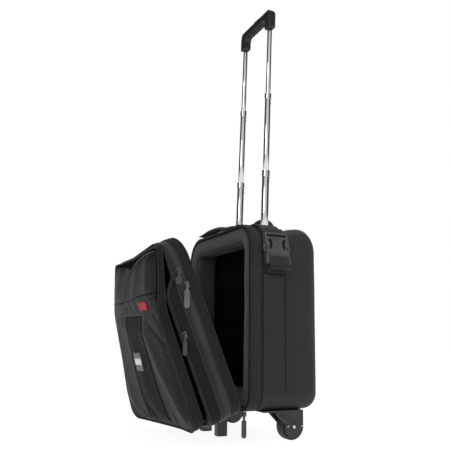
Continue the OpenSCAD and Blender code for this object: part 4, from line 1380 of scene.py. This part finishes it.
def pocket_front(m):
    """The pocket's leatherette front, simulated as a lightly stuffed sheet sewn at its edges."""
    columns, lines = 60, 72
    seam = yoke_seam()
    rows, raised = [], []
    for j in range(lines + 1):
        height = LID_CREST * j / lines
        half = pocket_half(height)
        row = []
        for i in range(columns + 1):
            x = half * (2 * i / columns - 1)
            out = float(pocket_edge_depth(x, height)) + pocket_bulge(x, height)
            row.append((x, FRONT - out, BASE + height))
            raised.append(in_yoke(x, height, seam))
        rows.append(row)
    rows = np.array(rows)
    piece = loft("pocket_front", rows, m["leather"], closed=False)
    grid = np.arange((lines + 1) * (columns + 1)).reshape(lines + 1, columns + 1)
    held = set(grid[0]) | set(grid[-1]) | set(grid[:, 0]) | set(grid[:, -1])
    band_line = int(round(0.270 / LID_CREST * lines))
    held |= set(grid[band_line])
    puff(piece, sorted(held), 1.6, 0.004, 0.010, 15.0)
    coordinates = points_of(piece)
    coordinates[:, 1] -= np.array(raised) * 0.0045
    coordinates[:, 1] -= pocket_folds(coordinates[:, 0], coordinates[:, 2] - BASE)
    move_to(piece, coordinates)
    smooth_more(piece)
    piece.data.materials.append(m["lining"])
    for face in piece.data.polygons:
        if face.center.z - BASE > front_top(face.center.x, seam):
            face.material_index = 1
    return piece


def pocket_folds(x, height):
    """Soft upright folds where the leatherette hangs between its seams, and slanting ones below the band."""
    upper = np.clip((height - 0.305) / 0.02, 0, 1) * np.clip((0.388 - height) / 0.02, 0, 1)
    lower = np.clip((0.262 - height) / 0.03, 0, 1) * np.clip((height - 0.01) / 0.04, 0, 1)
    folds = 0.0
    for place, width, tall, lean in ((0.040, 0.022, 0.0022, 0.25), (0.128, 0.020, 0.0034, 0.10),
                                     (-0.128, 0.026, 0.0030, 0.55)):
        folds = folds + upper * tall * np.exp(-((x - place - lean * (height - 0.34)) / width) ** 2)
    for place, width, tall, lean in ((0.118, 0.026, 0.0052, 0.38), (-0.010, 0.030, 0.0024, 0.25),
                                     (-0.140, 0.022, 0.0024, 0.10)):
        folds = folds + lower * tall * np.exp(-((x - place - lean * (0.13 - height)) / width) ** 2)
    return folds


def lay_on(tree, points, lift):
    """Points (x, height) laid on the pocket's front, lifted off it, with the surface's normals."""
    places, normals = [], []
    for x, height in points:
        hit, normal, _, _ = tree.ray_cast(Vector((x, FRONT - 0.4, BASE + height)), Vector((0, 1, 0)))
        if hit is None:
            depth = float(pocket_edge_depth(x, height))
            hit, normal, _, _ = tree.find_nearest(Vector((x, FRONT - depth, BASE + height)))
        if normal.y > 0:
            normal = -normal
        places.append(np.array(hit + normal * lift))
        normals.append(np.array(normal))
    return np.array(places), np.array(normals)


def laid_strip(name, tree, corners, material, lift, columns, lines):
    """A thin sheet that follows the pocket's front. corners(u, v) gives (x, height); its edges turn down."""
    rows = []
    for j in range(-1, lines + 2):
        v = min(max(j / lines, 0), 1)
        row = []
        for i in range(-1, columns + 2):
            u = min(max(i / columns, 0), 1)
            edge = i in (-1, columns + 1) or j in (-1, lines + 1)
            place, _ = lay_on(tree, [corners(u, v)], -0.0004 if edge else lift)
            row.append(place[0])
        rows.append(row)
    return loft(name, rows, material, closed=False)


def pocket_trim(m, front):
    """The band, centre strip, seams and plain labels sewn to the pocket's front."""
    corners = [v.co.copy() for v in front.data.vertices]
    tree = BVHTree.FromPolygons(corners, [tuple(p.vertices) for p in front.data.polygons])
    seam = yoke_seam(90)

    def band(u, v):
        x = (2 * u - 1) * (HALF - 0.0015)
        rise = 0.5 - 0.5 * math.cos(math.pi * min(max((x + 0.060) / 0.150, 0), 1))
        top = 0.300 + 0.009 * rise
        return x, BAND_LOW + (top - BAND_LOW) * v

    def strip(u, v):
        low, high, width = 0.016, 0.268, 0.122
        flare = 1 - 0.12 * (1 - v)
        return 0.010 * v + (u - 0.5) * width * flare, low + (high - low) * v

    def label_at(x0, x1, z0, z1):
        return lambda u, v: (x0 + (x1 - x0) * u, z0 + (z1 - z0) * v)

    for name, shape, cloth, lift, columns, lines, slot, replaced in (
            ("centre_strip_cloth", strip, "strip", 0.0011, 18, 46, "strip_fabric", ["centre_strip"]),
            ("pocket_band_cloth", band, "leather", 0.0020, 60, 9, "leatherette",
             ["pocket_band", "pocket_shell"]),
            ("label_grey", label_at(-0.030, 0.012, 0.142, 0.184), "label", 0.0022, 8, 8, "label_cloth",
             ["pocket_labels"]),
            ("label_white_bar", label_at(-0.029, 0.011, 0.156, 0.171), "white", 0.0028, 8, 4, "label_cloth",
             []),
            ("tab_red_cloth", label_at(0.080, 0.126, 0.277, 0.295), "red", 0.0034, 10, 5, "label_cloth", [])):
        sheet = laid_strip(name, tree, shape, m[cloth], lift, columns, lines)
        keep_on_lid(sheet, slot, *replaced, sags=False)
    wide, tall, fine = (np.linspace(0, 1, count) for count in (80, 60, 120))
    for name, points, radius, finish in (
            ("yoke_piping", seam, 0.0016, "piping"),
            ("band_top_cord", [band(u, 1.0) for u in wide], 0.0010, "piping"),
            ("band_low_cord", [band(u, 0.0) for u in wide], 0.0009, "binding"),
            ("strip_cord_left", [strip(0.0, v) for v in tall], 0.0010, "binding"),
            ("strip_cord_right", [strip(1.0, v) for v in tall], 0.0010, "binding")):
        path, _ = lay_on(tree, points, 0.0008)
        keep_on_lid(tube(name, path, radius, m[finish], 8, closed=False), "binding", sags=False)
    for name, points, lift in (
            ("yoke_stitches", seam - np.array([-0.003, 0.004]), 0.0004),
            ("band_stitches_top", [band(u, 0.84) for u in fine], 0.0024),
            ("band_stitches_low", [band(u, 0.14) for u in fine], 0.0024),
            ("strip_stitches_left", [strip(0.05, v) for v in fine], 0.0015),
            ("strip_stitches_right", [strip(0.95, v) for v in fine], 0.0015)):
        path, normals = lay_on(tree, points, lift)
        keep_on_lid(stitches(name, path, normals, m["thread"], closed=False), "binding", sags=False)
    keep_on_lid(front, "leatherette", sags=False)


# ---------- poles and carried-over parts ----------

POLE_X = 0.070
POLES = (("outer_tubes", "case"), ("stage_a_tubes", "stage_a"), ("stage_b_tubes", "stage_b"),
         ("stage_c_tubes", "stage_c"))


def button_dome(name, centre, facing, up, radius, lift, material):
    """A small round button that stands a little off a surface."""
    aside = facing.cross(up).normalized()
    upright = aside.cross(facing).normalized()
    rows = []
    profile = ((1.0, -0.0004), (1.0, lift * 0.6), (0.86, lift), (0.4, lift * 1.15), (0.0, lift * 1.2))
    for share, out in profile:
        rows.append([centre + facing * out + (aside * c + upright * s) * radius * share
                     for c, s in turns(20)])
    return outward(weld(loft(name, rows, material)))


def poles(m):
    """The chromed telescopic tubes, drawn round and smooth, with the sprung lock pins under each joint."""
    for node, body in POLES:
        low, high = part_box(node)
        r = high.x - POLE_X
        for side, word in SIDES:
            foot = Vector((side * POLE_X, low.y + r, low.z))
            head = Vector((side * POLE_X, high.y - r, high.z))
            up = (head - foot).normalized()
            back = Vector((1, 0, 0)).cross(up) * -1
            rows = []
            length = (head - foot).length
            for rise, radius in ((0, r - 0.0011), (0, r - 0.0003), (0.0004, r), (length - 0.0004, r),
                                  (length, r - 0.0003), (length, r - 0.0011), (0, r - 0.0011)):
                rows.append([foot + up * rise + Vector((1, 0, 0)) * radius * c + back * radius * s
                             for c, s in turns(48)])
            piece = outward(weld(loft(f"{node}_{word}", rows, m["chrome"])))
            keep(piece, body, "chrome", *((node,) if side > 0 else ()))
            if node == "outer_tubes" or node == "stage_c_tubes":
                continue
            for index, drop in enumerate((0.017, 0.026)):
                facing = (Vector((1, 0, 0)) * math.cos(1.0) + Vector((0, 1, 0)) * math.sin(1.0))
                centre = head - up * drop + facing * (r - 0.0002)
                for part, radius, lift, finish, slot in (("ring", 0.0024, 0.0004, "black", "black_plastic"),
                                                         ("pin", 0.0014, 0.0010, "steel", "steel")):
                    name = f"{node}_{part}_{word}_{index + 1}"
                    keep(button_dome(name, centre, facing, up, radius, lift, m[finish]), body, slot)


def dress(m):
    """Gives every rigid CAD node its finish and softens its edges."""
    finishes = {
        "steel": ["stage_a_collars", "stage_b_collars", "fasteners", "wheel_axles", "wheel_bearings_left",
                  "wheel_bearings_right"],
        "black": ["base_plate", "front_feet", "wheel_bracket_left", "wheel_bracket_right", "handle_bezel",
                  "bottom_bridge"],
        "hub": ["wheel_hub_left", "wheel_hub_right"],
        "rubber": ["wheel_tyre_left", "wheel_tyre_right"],
        "grip": ["grip", "grip_pad", "release_button"],
        "grey": ["buckle_plug_left", "buckle_plug_right"],
        "slider": ["body_zip_sliders", "lid_zip_sliders"],
        "pull": ["tray_pull_long"],
        "pull_dark": ["tray_pull_short", "mouth_pull_left", "mouth_pull_right", "pocket_pull"],
    }
    bevels = {"grip": 0.0022, "black": 0.0012, "grey": 0.0011, "slider": 0.0006, "pull": 0.0009,
              "pull_dark": 0.0009, "rubber": 0.0012, "hub": 0.0008}
    for finish, nodes in finishes.items():
        for name in nodes:
            node = NODES[name]
            node.data.materials.clear()
            node.data.materials.append(m[finish])
            if name == "grip":
                mould_smooth(node)
            elif finish in bevels:
                soften(node, bevels[finish])


def soften(node, width):
    """Rounds the sharp edges of a CAD part without changing its mesh."""
    weld_up = node.modifiers.new("weld", "WELD")
    weld_up.merge_threshold = 0.00002
    bevel = node.modifiers.new("bevel", "BEVEL")
    bevel.width = width
    bevel.segments = 3
    bevel.limit_method = "ANGLE"
    bevel.angle_limit = math.radians(38)
    bevel.harden_normals = True
    bevel.use_clamp_overlap = True


def mould_smooth(node):
    """Rounds a CAD part all over, as a thick soft moulding, without changing its mesh."""
    remesh = node.modifiers.new("remesh", "REMESH")
    remesh.mode = "VOXEL"
    remesh.voxel_size = 0.0011
    remesh.use_smooth_shade = True
    smooth = node.modifiers.new("smooth", "SMOOTH")
    smooth.factor = 0.6
    smooth.iterations = 8


# ---------- build ----------

ahead = make_camera()
make_studio(ahead)
make_floor()
make_backdrop()
scene.view_settings.view_transform = "Standard"
finishes = make_materials()

case_shell(finishes)
back_panel_trim(finishes)
mouth_border(finishes)
back_cushion(finishes)
mouth_piping(finishes)
side_tapes(finishes)
seam_piping(finishes)
hinge_fabric(finishes)
straps(finishes)
strap_tails(finishes)
buckle_sockets(finishes)
grab_handle("front_handle_pad", "front_grab_handle", finishes, half=0.118, depth=0.010, rise=0.009,
            base=TOP + 0.0008, width=0.028, thick=0.0078, peak=-0.28)
grab_handle("rear_handle_pad", "rear_grab_handle", finishes, half=0.074, depth=0.124, rise=0.032,
            base=TOP + 0.0050, width=0.020, thick=0.0095)
handle_ends(finishes)
lid_tray(finishes)
lid_liner(finishes)
lid_rim(finishes)
tray_zip(finishes)
organiser(finishes)
bellows(finishes)
pocket_sides(finishes)
pocket_trim(finishes, pocket_front(finishes))
poles(finishes)
dress(finishes)
